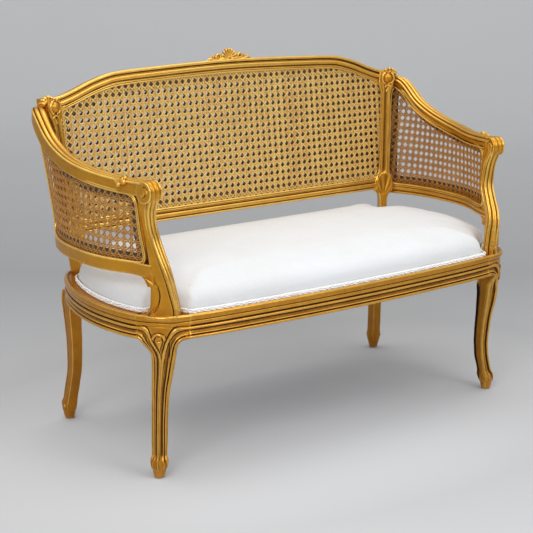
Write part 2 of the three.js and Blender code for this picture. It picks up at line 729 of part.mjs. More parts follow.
function caneSheet(surface, [acrossMarks, upMarks], clearance, pierced) {
  const corner = (i, j, face) => {
    const { at, normal } = surface.read(acrossMarks[i], upMarks[j], clearance);
    return at.clone().addScaledVector(normal, face * (caneThickness / 2 + clearance));
  };
  const triangles = [];
  const wall = (a, b, c, d) => triangles.push([a, b, c], [a, c, d]);
  const cells = [acrossMarks.length - 1, upMarks.length - 1];
  const inside = (i, j) => {
    const hole = pierced && i % 2 === 1 && j % 2 === 1;
    return !hole && i >= 0 && j >= 0 && i < cells[0] && j < cells[1];
  };
  for (let i = 0; i < cells[0]; i += 1) {
    for (let j = 0; j < cells[1]; j += 1) {
      if (!inside(i, j)) continue;
      const ring = [[i, j], [i + 1, j], [i + 1, j + 1], [i, j + 1]];
      const [f0, f1, f2, f3] = ring.map(([p, q]) => corner(p, q, 1));
      const [b0, b1, b2, b3] = ring.map(([p, q]) => corner(p, q, -1));
      wall(f0, f1, f2, f3);
      wall(b0, b3, b2, b1);
      if (!inside(i, j - 1)) wall(f0, b0, b1, f1);
      if (!inside(i + 1, j)) wall(f1, b1, b2, f2);
      if (!inside(i, j + 1)) wall(f2, b2, b3, f3);
      if (!inside(i - 1, j)) wall(f3, b3, b0, f0);
    }
  }
  return solidFromTriangles(triangles);
}

// Back cane: between the stiles, lower rail and crest, in two layers
function backSurface(layer) {
  const bottom = lowerBackMiddle + lowerBackHeight / 2 - caneTuck;
  const half = (z) => stileCentre(z).x - stileHalfAt(z) + caneTuck;
  const upper = half(crestEnd - crestHeight / 2);
  return {
    width: 2 * upper,
    height: backCentreTop - crestHeight - bottom,
    read: (p, q, spreadBy = 0) => {
      const sign = 2 * p - 1;
      const topAtEdge = crestMiddleAt(sign * upper) - crestHeight / 2 + caneTuck + spreadBy;
      const low = bottom - spreadBy;
      const z = THREE.MathUtils.lerp(low, topAtEdge, q);
      const straight = stileCentre(z).x - stileHalfFace + caneTuck + spreadBy;
      const x = sign * straight;
      const at = point(x, backMiddle(z), z).addScaledVector(backFront, layer * caneLayerOffset);
      return { at, normal: backFront };
    },
  };
}

// Side cane: between post, stile, lower rail and arm on the bent side surface
function sideSurfaceOf(side) {
  const bottom = lowerSideMiddle + lowerSideHeight / 2 - caneTuck;
  const edges = (z, spreadBy) => {
    const front = postRearEdge(z) - caneTuck - spreadBy;
    const middle = stilePoint(z, stileHalfAt(z) + stileReturnAt(z) / 2, (stileReturnShare * stileThickness) / 2);
    const rear = middle.y + caneTuck + spreadBy;
    return [front, rear];
  };
  return {
    width: stilePlace.y - postPlace.y,
    height: armFrontTop - armDepth - bottom,
    read: (p, q, spreadBy = 0) => {
      let z = bottom;
      let y = 0;
      for (let pass = 0; pass < 6; pass += 1) {
        const [front, rear] = edges(z, spreadBy);
        y = THREE.MathUtils.lerp(front, rear, p);
        const low = bottom - spreadBy;
        const high = sideSurface(y, z).armTop - armDepth + caneTuck + spreadBy;
        z = THREE.MathUtils.lerp(low, high, q);
      }
      const { at, outward } = sideSurface(y, z);
      at.addScaledVector(outward, -armWidth / 2);
      return { at: mirrored(at, side), normal: mirrored(outward, side) };
    },
  };
}

// Upholstered seat, its outline notched round posts and stiles
function insetPlan(station, inset) {
  const { at, outward } = planAt(station);
  return at.addScaledVector(outward, -inset);
}

// Corner of the notch on the inner face of a post, towards its front (-1) or its rear (1)
function postNotch(end) {
  const [row] = postShares;
  const { across, up } = postAxes(row[5]);
  const inner = -(row[3] * postWidth) / 2 - cushionNotchGap;
  const reach = end * ((row[2] * postDepth) / 2 + cushionNotchGap);
  return postCentre(row).addScaledVector(across, inner).addScaledVector(up, reach).setZ(0);
}

const stileNotchFront = stilePoint(ledgeTop, 0, -cushionNotchGap).y - cushionNotchGap;
const stileNotchAcross = stilePoint(ledgeTop, -stileHalfFace - cushionNotchGap, 0).x;
const cushionHalf = [];
for (const station of cushionStationShares.front) cushionHalf.push(insetPlan(station, cushionFrontInset));
cushionHalf.push(postNotch(-1), postNotch(1), insetPlan(cushionStationShares.turn, cushionSideInset));
for (const station of cushionStationShares.side) cushionHalf.push(insetPlan(station, cushionSideInset));
cushionHalf.push(point(stilePoint(ledgeTop, stileHalfFace * 1.8, 0).x, stileNotchFront));
cushionHalf.push(point(stileNotchAcross, stileNotchFront + cushionNotchGap));
cushionHalf.push(point(stileNotchAcross, insetPlan(cushionStationShares.back, cushionBackInset).y));
cushionHalf.push(insetPlan(rearStation - 1, cushionBackInset));
const cushionLine = [insetPlan(0, cushionFrontInset), ...cushionHalf, insetPlan(rearStation, cushionBackInset)];
for (const spot of [...cushionHalf].reverse()) cushionLine.push(mirrored(spot, -1));
const cushionMiddle = (insetPlan(0, 0).y + insetPlan(rearStation, 0).y) / 2;

function cushionRing(inset) {
  const shrinkAcross = 1 - inset / seatHalfWidth;
  const shrinkDeep = 1 - inset / (seatDepth / 2);
  return cushionLine.map(({ x, y }) => [x * shrinkAcross, cushionMiddle + (y - cushionMiddle) * shrinkDeep]);
}

function cushionBody(shrink, foot) {
  const stations = cushionShares.map(([inset, rise], i) => ({
    origin: point(0, 0, i ? ledgeTop + rise * (cushionCrown - ledgeTop) - shrink : foot),
    across: point(1, 0),
    up: point(0, 1),
    outline: cushionRing(inset * cushionRound + shrink),
  }));
  return loft(stations);
}

function coverSolid() {
  const outer = cushionBody(0, stileFoot);
  return outer.subtract(cushionBody(coverThickness, ledgeTop - overrun));
}

function gimpSolid() {
  const ring = (by) => prism(grown(cushionRing(0), by), stileFoot, stileFoot + gimpWidth);
  return ring(fitGap + gimpThickness).subtract(prism(grown(cushionRing(0), fitGap), railBottom, cushionCrown));
}

const webBottom = stileFoot;
const burlapBottom = webBottom + webThickness + fitGap;
const padBottom = burlapBottom + burlapThickness + fitGap;

function webbingSolid() {
  const sheets = [];
  const z = webBottom + webThickness / 2;
  const axes = [point(1, 0), point(0, 1), zAxis];
  for (const share of spread(-0.5, 0.5, websAlong + 1).slice(1, -1)) {
    const x = share * 2 * seatHalfWidth;
    sheets.push(boxAt(point(x, cushionMiddle, z), axes, [webWidth, seatDepth, webThickness]));
  }
  for (const share of spread(-0.5, 0.5, websAcross + 1).slice(1, -1)) {
    const y = cushionMiddle + share * seatDepth;
    sheets.push(boxAt(point(0, y, z), axes, [2 * seatHalfWidth, webWidth, webThickness]));
  }
  let lattice = sheets[0];
  for (const sheet of sheets.slice(1)) lattice = lattice.add(sheet);
  return lattice.intersect(prism(cushionRing(coverTuck), railBottom, cushionCrown));
}

// Braces screwed across the seat corners inside the rails
const innerFace = (station) => insetPlan(station, railThickness);

function braceParts([from, to, firstScrew, secondScrew], side, spans) {
  const ends = [innerFace(from), innerFace(to)];
  const along = ends[1].clone().sub(ends[0]).normalize();
  const inward = point(-along.y, along.x);
  const outline = [];
  for (const [a, b] of [[-1, 0], [1, 0], [1, 1], [-1, 1]]) {
    const end = a < 0 ? ends[0] : ends[1];
    const spot = end.clone().addScaledVector(along, a * 2 * braceWidth).addScaledVector(inward, b * braceWidth);
    outline.push([side * spot.x, spot.y]);
  }
  const lift = (railHeight - braceHeight) / 2;
  let brace = prism(outline, railBottom + lift, railTop - lift);
  for (const span of spans) {
    const depth = span.length > 2 ? railThickness : blockThickness;
    brace = brace.subtract(railBody(span[0], span[1], span[2] ?? blockSteps, depth + fitGap, -overrun, 2 * braceWidth));
  }
  const screws = [firstScrew, secondScrew].map((station) => {
    const { at, outward } = planAt(side * station);
    const inner = at.addScaledVector(outward, -railThickness).setZ(railBottom + railHeight / 2);
    return { inner, outward };
  });
  return { brace, screws };
}

function screwSolid({ inner, outward }, clearance = 0) {
  const seat = braceWidth * screwSeatShare;
  const start = inner.clone().addScaledVector(outward, -seat);
  const length = seat + screwBite + clearance;
  const headLength = clearance ? 2 * braceWidth : screwHeadHeight;
  const headStart = start.clone().addScaledVector(outward, clearance - headLength);
  return rodAlong(start, outward, screwRadius + clearance, length, 6)
    .add(rodAlong(headStart, outward, screwHeadRadius + clearance, headLength + screwRadius, 8));
}

// Carved shell over the crest, rosettes and leaf curls on the stile tops
function ellipsoid(centre, axes, radii, segments = 8) {
  const geometry = new THREE.SphereGeometry(1, segments, segments - 3);
  const frame = new THREE.Matrix4().makeBasis(...axes).setPosition(centre);
  return solidOf(geometry.scale(...radii).applyMatrix4(frame));
}

function shellSolid() {
  const base = crestMiddleAt(0) + crestHeight / 2;
  const foot = point(0, backMiddle(base), base);
  const place = (x, rise) => foot.clone().add(point(x, 0)).addScaledVector(backUp, rise);
  let shell = ellipsoid(place(0, shellHeight * 0.2), [point(1, 0), backUp, backFront],
    [shellHalfWidth * 0.4, shellHeight * 0.45, shellDepth * 0.5]);
  for (const share of spread(-1, 1, shellLobes - 1)) {
    const angle = share * degrees(shellFan);
    const ray = point(Math.sin(angle), 0).addScaledVector(backUp, Math.cos(angle));
    const side = ray.clone().cross(backFront).normalize();
    const centre = place(0, 0).addScaledVector(ray, shellHeight * 0.56);
    shell = shell.add(ellipsoid(centre, [side, ray, backFront], [shellHeight * 0.2, shellHeight * 0.42, shellDepth / 2]));
  }
  for (const side of [-1, 1]) {
    for (const [across, rise, size] of shellScrollShares) {
      const centre = place(side * across * shellHalfWidth, rise * shellHeight);
      shell = shell.add(ellipsoid(centre, [point(1, 0), backUp, backFront],
        [size * shellHalfWidth, shellHeight * 0.3, shellDepth * 0.42], 6));
    }
  }
  return shell.subtract(crestSolid(fitGap));
}

function rosetteSolid(side) {
  const middleZ = stileTop - rosetteRadius * 1.5;
  const facing = mirrored(stileOutward, side).negate();
  const across = mirrored(stileFace, side);
  const centre = mirrored(stilePoint(middleZ, 0.2 * stileHalfFace, 0), side);
  const button = ellipsoid(centre, [across, facing.clone().cross(across), facing],
    [rosetteRadius, rosetteRadius, rosetteStand], 10);
  return button.subtract(stileSolid(side, fitGap)).subtract(crestSolid(fitGap));
}

function curlSolid(side) {
  const centre = mirrored(stilePoint(stileTop, curlInset, stileThickness / 2), side);
  const across = mirrored(stileFace, side);
  const curl = ellipsoid(centre, [across, mirrored(stileOutward, side), zAxis],
    [curlLength, curlRadius * 1.4, curlRadius], 10);
  return curl.subtract(stileSolid(side, fitGap)).subtract(crestSolid(fitGap)).subtract(armBody(side, fitGap));
}

// Dust cover under the rails, cut back round the legs
function dustSolid() {
  const outline = spread(0, planCount - 0.5, 2 * planCount - 1).map((station) => {
    const { x, y } = insetPlan(station, dustInset);
    return [x, y];
  });
  const top = railBottom - fitGap;
  let sheet = prism(outline, top - dustThickness, top);
  for (const side of [-1, 1]) {
    for (const [place, shares] of [[frontFoot, frontLegShares], [rearFoot, rearLegShares]]) {
      const [first, last] = [shares[0], shares[shares.length - 1]];
      const shift = point(last[1] - first[1], last[2] - first[2]).multiplyScalar(legSweep);
      const centre = mirrored(place.clone().add(shift).setZ(railBottom), side);
      const size = 2 * (last[3] * legWaist + dustGap);
      sheet = sheet.subtract(boxAt(centre, [point(1, 0), point(0, 1), zAxis], [size, size, size]));
    }
  }
  return sheet;
}

const pieces = new Map();

function addPiece(name, solid, finish) {
  pieces.set(name, { solid, finish });
}

function cutInto(name, tool) {
  const piece = pieces.get(name);
  piece.solid = piece.solid.subtract(tool);
}

// A tenon joins its own piece and leaves a cleared mortise in the other
function join(tenoned, mortised, centre, axes, sizes) {
  const piece = pieces.get(tenoned);
  piece.solid = piece.solid.add(boxAt(centre, axes, sizes));
  cutInto(mortised, boxAt(centre, axes, sizes.map((size) => size + 2 * fitGap)));
}

for (const place of Object.keys(railSpans)) addPiece(`${place}_seat_rail`, seatRail(railSpans[place]), gold);
const sideNames = [['left', -1], ['right', 1]];
for (const [name, side] of sideNames) {
  addPiece(`front_leg_${name}`, legSolid(side, true).subtract(postSolid(side, looseGap)), gold);
  addPiece(`rear_leg_${name}`, legSolid(side, false), gold);
  addPiece(`front_glide_${name}`, glideSolid(side, true), steel);
  addPiece(`rear_glide_${name}`, glideSolid(side, false), steel);
  addPiece(`arm_post_${name}`, postSolid(side), gold);
  addPiece(`arm_rail_${name}`, armSolid(side), gold);
  addPiece(`corner_stile_${name}`, stileSolid(side), gold);
  addPiece(`lower_side_rail_${name}`, lowerSideSolid(side), gold);
}
addPiece('crest_rail', crestSolid(), gold);
addPiece('lower_back_rail', lowerBackSolid(), gold);

for (const [name, side] of sideNames) {
  const upright = [point(1, 0), point(0, 1), zAxis];
  const standing = [smallTenonWidth, smallTenonThickness, 2 * smallTenonLength];
  const postFoot = mirrored(postCentre(postShares[0]), side);
  join(`arm_post_${name}`, `front_leg_${name}`, postFoot, upright, standing);
  const stileStand = mirrored(stilePoint(stileFoot, 0, smallTenonThickness), side);
  join(`corner_stile_${name}`, `rear_leg_${name}`, stileStand, upright, standing);
  const lying = [2 * smallTenonLength, smallTenonThickness, smallTenonWidth];
  for (const [rail, z] of [['crest_rail', crestEnd], ['lower_back_rail', lowerBackMiddle]]) {
    const x = stilePoint(z, -stileHalfAt(z), 0).x;
    const middle = mirrored(point(x, backMiddle(z), z), side);
    join(rail, `corner_stile_${name}`, middle, [point(1, 0), backFront, backUp], lying);
  }
  for (const [rail, curve, size] of [
    [`lower_side_rail_${name}`, lowerSideCurve, lowerSideWidth], [`arm_rail_${name}`, armCurve, armDepth],
  ]) {
    const low = curve === lowerSideCurve;
    const share = low ? 0.85 : 0.9;
    const { at, across, up } = pathFrame(curve, share, side);
    const drop = low ? 0 : armDepth / 2;
    const centre = at.addScaledVector(across, -size / 2).addScaledVector(up, -drop);
    join(rail, `corner_stile_${name}`, centre, [across.clone().cross(up), across, up], lying);
  }
  const front = pathFrame(lowerSideCurve, sideShareAt(postRearEdge(lowerSideMiddle)), side);
  const middle = front.at.addScaledVector(front.across, -lowerSideWidth / 2);
  join(`lower_side_rail_${name}`, `arm_post_${name}`, middle,
    [front.across.clone().cross(front.up), front.across, front.up], lying);
}

// Cane panels and the grooves they sit in
const caneSets = [
  ['back_cane_front', backSurface(1), backCaneColumns, backCaneRows],
  ['back_cane_rear', backSurface(-1), backCaneColumns, backCaneRows],
  ['side_cane_left', sideSurfaceOf(-1), sideCaneColumns, sideCaneRows],
  ['side_cane_right', sideSurfaceOf(1), sideCaneColumns, sideCaneRows],
];
for (const [name, surface, columns, rows] of caneSets) {
  const marks = caneMarks(surface, columns, rows);
  addPiece(name, caneSheet(surface, marks, 0, true), cane);
  const isBack = name.startsWith('back');
  const edgeMarks = [...marks[0].slice(0, 2), ...marks[0].slice(-2)];
  const groove = caneSheet(surface, isBack ? [edgeMarks, [0, 1]] : marks, grooveGap, false);
  for (const [host, side] of sideNames) {
    if (!isBack && !name.endsWith(host)) continue;
    cutInto(`corner_stile_${host}`, groove);
    if (isBack) continue;
    cutInto(`arm_post_${host}`, groove);
    cutInto(`arm_rail_${host}`, groove);
    cutInto(`lower_side_rail_${host}`, groove);
  }
  if (isBack) {
    cutInto('crest_rail', caneSheet(surface, [marks[0], [0, 1]], grooveGap, false));
    cutInto('lower_back_rail', groove);
  }
}

addPiece('crest_shell', shellSolid(), gold);
for (const [name, side] of sideNames) {
  addPiece(`corner_rosette_${name}`, rosetteSolid(side), gold);
  addPiece(`corner_leaf_${name}`, curlSolid(side), gold);
  for (const [place, row] of Object.entries(braceStations)) {
    const places = place === 'front' ? ['front', name] : [name, 'back'];
    const spans = [...places.map((each) => railSpans[each]), blockSpan(side, place === 'front')];
    const { brace, screws } = braceParts(row, side, spans);
    const braceName = `${place}_brace_${name}`;
    addPiece(braceName, brace, beech);
    const rails = places.map((each) => `${each}_seat_rail`);
    screws.forEach((screw, i) => {
      addPiece(`${place}_brace_screw_${name}_${i + 1}`, screwSolid(screw), steel);
      cutInto(braceName, screwSolid(screw, fitGap));
      cutInto(rails[i], screwSolid(screw, fitGap));
    });
  }
}
addPiece('seat_webbing', webbingSolid(), jute);
addPiece('seat_burlap', prism(cushionRing(coverTuck), burlapBottom, burlapBottom + burlapThickness), jute);
addPiece('seat_pad', cushionBody(coverThickness + looseGap, padBottom), filling);
addPiece('seat_cover', coverSolid(), cloth);
addPiece('seat_gimp', gimpSolid(), braid);
addPiece('dust_cover', dustSolid(), cambric);

// Each mesh sits at the middle of its piece, in a group for its part of the settee
const groups = new Map();
for (const [name, { solid, finish }] of pieces) {
  const geometry = geometryOf(solid);
  geometry.computeBoundingBox();
  const centre = geometry.boundingBox.getCenter(point(0, 0));
  geometry.translate(-centre.x, -centre.y, -centre.z);
  const mesh = new THREE.Mesh(geometry, new THREE.MeshStandardMaterial({ ...finish, flatShading: true }));
  mesh.name = name;
  mesh.position.copy(centre);
  const part = finish === gold || finish === beech || finish === steel ? 'woodwork' : 'covering';
  if (!groups.has(part)) groups.set(part, new THREE.Group());
  groups.get(part).add(mesh);
}
const sofa = new THREE.Group();
for (const part of groups.values()) sofa.add(part);
const extent = new THREE.Box3().setFromObject(sofa);
const middle = extent.getCenter(point(0, 0));
sofa.position.set(-middle.x, -middle.y, -extent.min.z);
sofa.updateMatrixWorld(true);

export default sofa;
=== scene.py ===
import math

import bpy
import numpy as np
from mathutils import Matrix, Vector


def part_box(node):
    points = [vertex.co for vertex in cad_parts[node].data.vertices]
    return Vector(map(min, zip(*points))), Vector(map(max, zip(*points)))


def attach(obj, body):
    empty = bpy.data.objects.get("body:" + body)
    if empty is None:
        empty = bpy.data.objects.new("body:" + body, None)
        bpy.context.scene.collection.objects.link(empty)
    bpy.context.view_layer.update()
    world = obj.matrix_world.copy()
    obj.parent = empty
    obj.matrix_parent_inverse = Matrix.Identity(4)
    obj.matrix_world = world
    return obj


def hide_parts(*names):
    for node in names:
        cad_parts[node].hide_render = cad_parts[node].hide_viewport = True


bl_info = {
    "name": "Carved and Caned Settee",
    "version": (1, 0, 0),
    "blender": (4, 5, 0),
    "location": "3D View > Sidebar > Settee",
    "description": "Models a gilt, carved and caned wrap-round settee with an upholstered seat",
    "category": "Object",
}

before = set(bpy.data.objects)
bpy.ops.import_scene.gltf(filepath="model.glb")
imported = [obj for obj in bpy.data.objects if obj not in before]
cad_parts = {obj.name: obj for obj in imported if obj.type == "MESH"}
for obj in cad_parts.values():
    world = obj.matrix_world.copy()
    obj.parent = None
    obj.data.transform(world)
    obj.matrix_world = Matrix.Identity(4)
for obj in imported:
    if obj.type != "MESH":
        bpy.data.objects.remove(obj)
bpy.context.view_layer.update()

MM = 0.001
PANEL_INSET = 9 * MM
UP = np.array([0.0, 0.0, 1.0])

# Half outline of the seat seen from above, as shares of half width and depth
PLAN = [
    (0, 0), (0.39, 0.009), (0.747, 0.036), (0.869, 0.066), (0.954, 0.173), (0.997, 0.359),
    (0.997, 0.55), (0.959, 0.75), (0.9, 0.902), (0.844, 0.969), (0.73, 0.996), (0.34, 1), (0, 1),
]
PLAN_COUNT = 24
FRONT_CORNER, REAR_CORNER = 3, 9

# Outer x of the lower side rail and of the arm, and rise of the arm, front to back
SIDE = [
    (0.884, 0.905, 0.015), (0.923, 0.924, 0), (0.968, 0.948, 0.012), (0.99, 0.975, 0.063),
    (0.993, 0.992, 0.134), (0.987, 0.998, 0.25), (0.965, 0.998, 0.45), (0.923, 0.993, 0.8),
    (0.864, 0.968, 1),
]

# Height, outward and backward sweep, half size and roundness of the legs
FRONT_LEG = [
    (0, 1, 0, 0.8, 1), (0.055, 0.97, 0, 1.08, 1), (0.068, 0.95, 0, 1.3, 1), (0.115, 0.9, 0.05, 1.3, 0.6),
    (0.15, 0.79, 0.15, 1.02, 0.3), (0.27, 0.47, 0.57, 0.97, 0), (0.39, 0.29, 0.71, 0.97, 0),
    (0.51, 0.26, 0.53, 1.02, 0), (0.63, 0.25, 0.2, 1.1, 0), (0.75, 0.2, -0.3, 1.26, 0),
    (0.87, 0.1, -0.6, 1.42, 0), (0.95, -0.3, -0.35, 1.62, 0), (1.03, -0.7, 0, 1.9, 0),
]
REAR_LEG = [
    (0, 1, 1.21, 0.8, 1), (0.055, 1, 1.2, 1.08, 1), (0.068, 0.98, 1.18, 1.2, 1),
    (0.115, 0.95, 1.15, 1.2, 0.6),
    (0.15, 0.8, 0.95, 1, 0.3), (0.27, 0.5, 0.5, 0.92, 0), (0.39, 0.2, 0.1, 0.92, 0),
    (0.51, 0.1, 0, 0.95, 0), (0.63, 0.07, 0, 1, 0), (0.75, 0.1, 0.15, 1.06, 0),
    (0.87, 0.1, 0.25, 1.2, 0), (0.95, -0.1, 0, 1.5, 0), (1.03, -0.6, -0.4, 1.8, 0),
]

# Height, back, depth, width, lean and turn of the arm posts
POST = [
    (0, 0.2, 1.39, 0.9, 0.11, 1), (0.04, 0.2, 1.37, 0.92, 0.11, 1), (0.08, 0.2, 1.3, 0.92, 0.12, 0.98),
    (0.24, 0.22, 1.05, 0.92, 0.24, 0.88), (0.31, 0.24, 0.98, 0.9, 0.36, 0.82),
    (0.43, 0.42, 0.84, 0.87, 0.44, 0.7),
    (0.54, 0.68, 0.68, 0.83, 0.48, 0.6), (0.66, 0.93, 0.57, 0.8, 0.56, 0.5),
    (0.77, 1, 0.55, 0.77, 0.77, 0.42),
    (0.89, 0.98, 0.66, 0.77, 0.93, 0.35), (1, 0.85, 0.96, 0.79, 1, 0.3),
]
POST_TURN = 48

# Level (0 foot, 1 lower back rail, 2 top), half face and outer return of the corner stiles
STILE = [
    (0, 0.87, 0.2), (0.64, 0.87, 0.2), (0.75, 1.18, 0.5), (0.84, 2.08, 1), (1.03, 2.08, 1), (1.08, 1.6, 1),
    (1.14, 1.2, 1), (1.47, 1, 1), (1.77, 1, 1), (1.83, 1.2, 1), (1.88, 1.7, 1), (1.945, 1.7, 0.95),
    (2, 1.6, 0.45),
]
CREST = [
    (0, 0), (0.22, 0.03), (0.44, 0.09), (0.58, 0.14), (0.66, 0.2), (0.76, 0.42), (0.85, 0.71),
    (0.93, 0.92), (1.02, 1)
]
CUSHION = [(0, 0), (0, 0.17), (0, 0.33), (0.035, 0.5), (0.11, 0.66), (0.24, 0.79), (0.46, 0.905), (1, 0.985)]

# Carved face of the seat rails: height over the lower edge and depth, in millimetres
RAIL_FACE = [
    (0, 4), (0.6, 1.8), (2, 0.5), (4, 0), (6, 0.5), (7.3, 1.9), (8.2, 5), (9, 5.4), (9.8, 4), (10.4, 2.2),
    (11.5, 1.7), (12.6, 2.5), (13.5, 4.2), (15, 5.4), (17, 6.2), (19, 6.5), (20.5, 7), (21.3, 6.6),
    (21.9, 3.6), (22.6, 1.6), (24, 0.3), (25.8, -0.2), (27.6, 0.4), (28.9, 1.9), (29.8, 5.6), (30.6, 6),
    (31.5, 3.8), (33, 2.8), (36, 2.5), (39, 2.9), (40.4, 3.6), (41.2, 5.4), (42, 3.4), (43, 1.8),
    (45, 0.7), (48, 0.1), (51, 0), (54, 0.5), (56, 1.9), (57, 4),
]


# Curves and small sums

def spline(points, share, closed=False, power=0.25):
    """Catmull-Rom points at shares of a curve's length in points."""
    points, share = np.asarray(points, float), np.atleast_1d(np.asarray(share, float))
    count = len(points)
    spans = count if closed else count - 1
    place = (share % 1 if closed else np.clip(share, 0, 1)) * spans
    first = np.minimum(place.astype(int), spans - 1)
    part = (place - first)[:, None]
    if closed:
        four = [points[(first + k) % count] for k in (-1, 0, 1, 2)]
    else:
        ends = np.vstack([2 * points[0] - points[1], points, 2 * points[-1] - points[-2]])
        four = [ends[first + k] for k in range(4)]
    gap = [np.maximum(np.sum((b - a) ** 2, axis=1), 1e-12)[:, None] ** power for a, b in zip(four, four[1:])]
    a, b, c, d = four
    into = ((b - a) / gap[0] - (c - a) / (gap[0] + gap[1]) + (c - b) / gap[1]) * gap[1]
    out = ((c - b) / gap[1] - (d - b) / (gap[1] + gap[2]) + (d - c) / gap[2]) * gap[1]
    return (
        b + into * part + (3 * c - 3 * b - 2 * into - out) * part ** 2
        + (2 * b - 2 * c + into + out) * part ** 3
    )


def tangents(points, share, closed=False, power=0.25):
    step = 1e-4
    share = np.atleast_1d(np.asarray(share, float))
    low, high = share - step, share + step
    if not closed:
        low, high = np.clip(low, 0, 1), np.clip(high, 0, 1)
    return unit(spline(points, high, closed, power) - spline(points, low, closed, power))


def unit(vectors):
    return vectors / np.maximum(np.linalg.norm(vectors, axis=-1, keepdims=True), 1e-12)


def hump(offset, half):
    """1 in the middle of a bead or groove, falling to 0 at its half width."""
    return np.clip(1 - (offset / half) ** 2, 0, 1)


def circle(angle, side, up):
    """Points of a unit circle in the plane of two axes."""
    return np.cos(angle)[:, None] * side + np.sin(angle)[:, None] * up


def smooth_step(value, low, high):
    t = np.clip((np.asarray(value, float) - low) / (high - low), 0, 1)
    return t * t * (3 - 2 * t)


def mirrored(points, side):
    return np.asarray(points, float) * [side, 1, 1]


def rows(table, share):
    """Smooth reading of a table whose first column is the place and the rest are values."""
    table = np.asarray(table, float)
    index = np.interp(share, table[:, 0], np.arange(len(table))) / (len(table) - 1)
    return spline(table, index, power=0)[:, 1:]


def evenly(points, count, closed=True):
    """Points at even distances along a line of points."""
    points = np.asarray(points, float)
    line = np.vstack([points, points[:1]]) if closed else points
    reach = np.concatenate([[0], np.cumsum(np.linalg.norm(np.diff(line, axis=0), axis=1))])
    at = np.linspace(0, reach[-1], count, endpoint=not closed)
    return np.column_stack([np.interp(at, reach, line[:, k]) for k in range(line.shape[1])])


def softened(points, passes, closed=True):
    points = np.asarray(points, float)
    for _ in range(passes):
        if closed:
            points = (np.roll(points, 1, 0) + 2 * points + np.roll(points, -1, 0)) / 4
        else:
            points[1:-1] = (points[:-2] + 2 * points[1:-1] + points[2:]) / 4
    return points


def section(corners, beads=(), count=72, soften=2):
    """A carved section: corners in millimetres, with beads and grooves (a, b, half width, height) on it."""
    line = evenly(corners, count)
    line = softened(line, soften)
    ahead, behind = np.roll(line, -1, 0), np.roll(line, 1, 0)
    tangent = unit(ahead - behind)
    area = np.sum(line[:, 0] * np.roll(line[:, 1], -1) - np.roll(line[:, 0], -1) * line[:, 1])
    normal = np.column_stack([tangent[:, 1], -tangent[:, 0]]) * np.sign(area)
    reach = np.concatenate([
        [0], np.cumsum(np.linalg.norm(np.diff(np.vstack([line, line[:1]]), axis=0), axis=1))
    ])
    total, reach = reach[-1], reach[:-1]
    push = np.zeros(count)
    for a, b, half, height in beads:
        middle = reach[np.argmin(np.sum((line - [a, b]) ** 2, axis=1))]
        away = np.abs((reach - middle + total / 2) % total - total / 2) / half
        inside = away < 1
        push[inside] += height * (np.sqrt(1 - away[inside] ** 2) if height > 0 else 1 - away[inside] ** 2)
    return (line + normal * push[:, None]) * MM


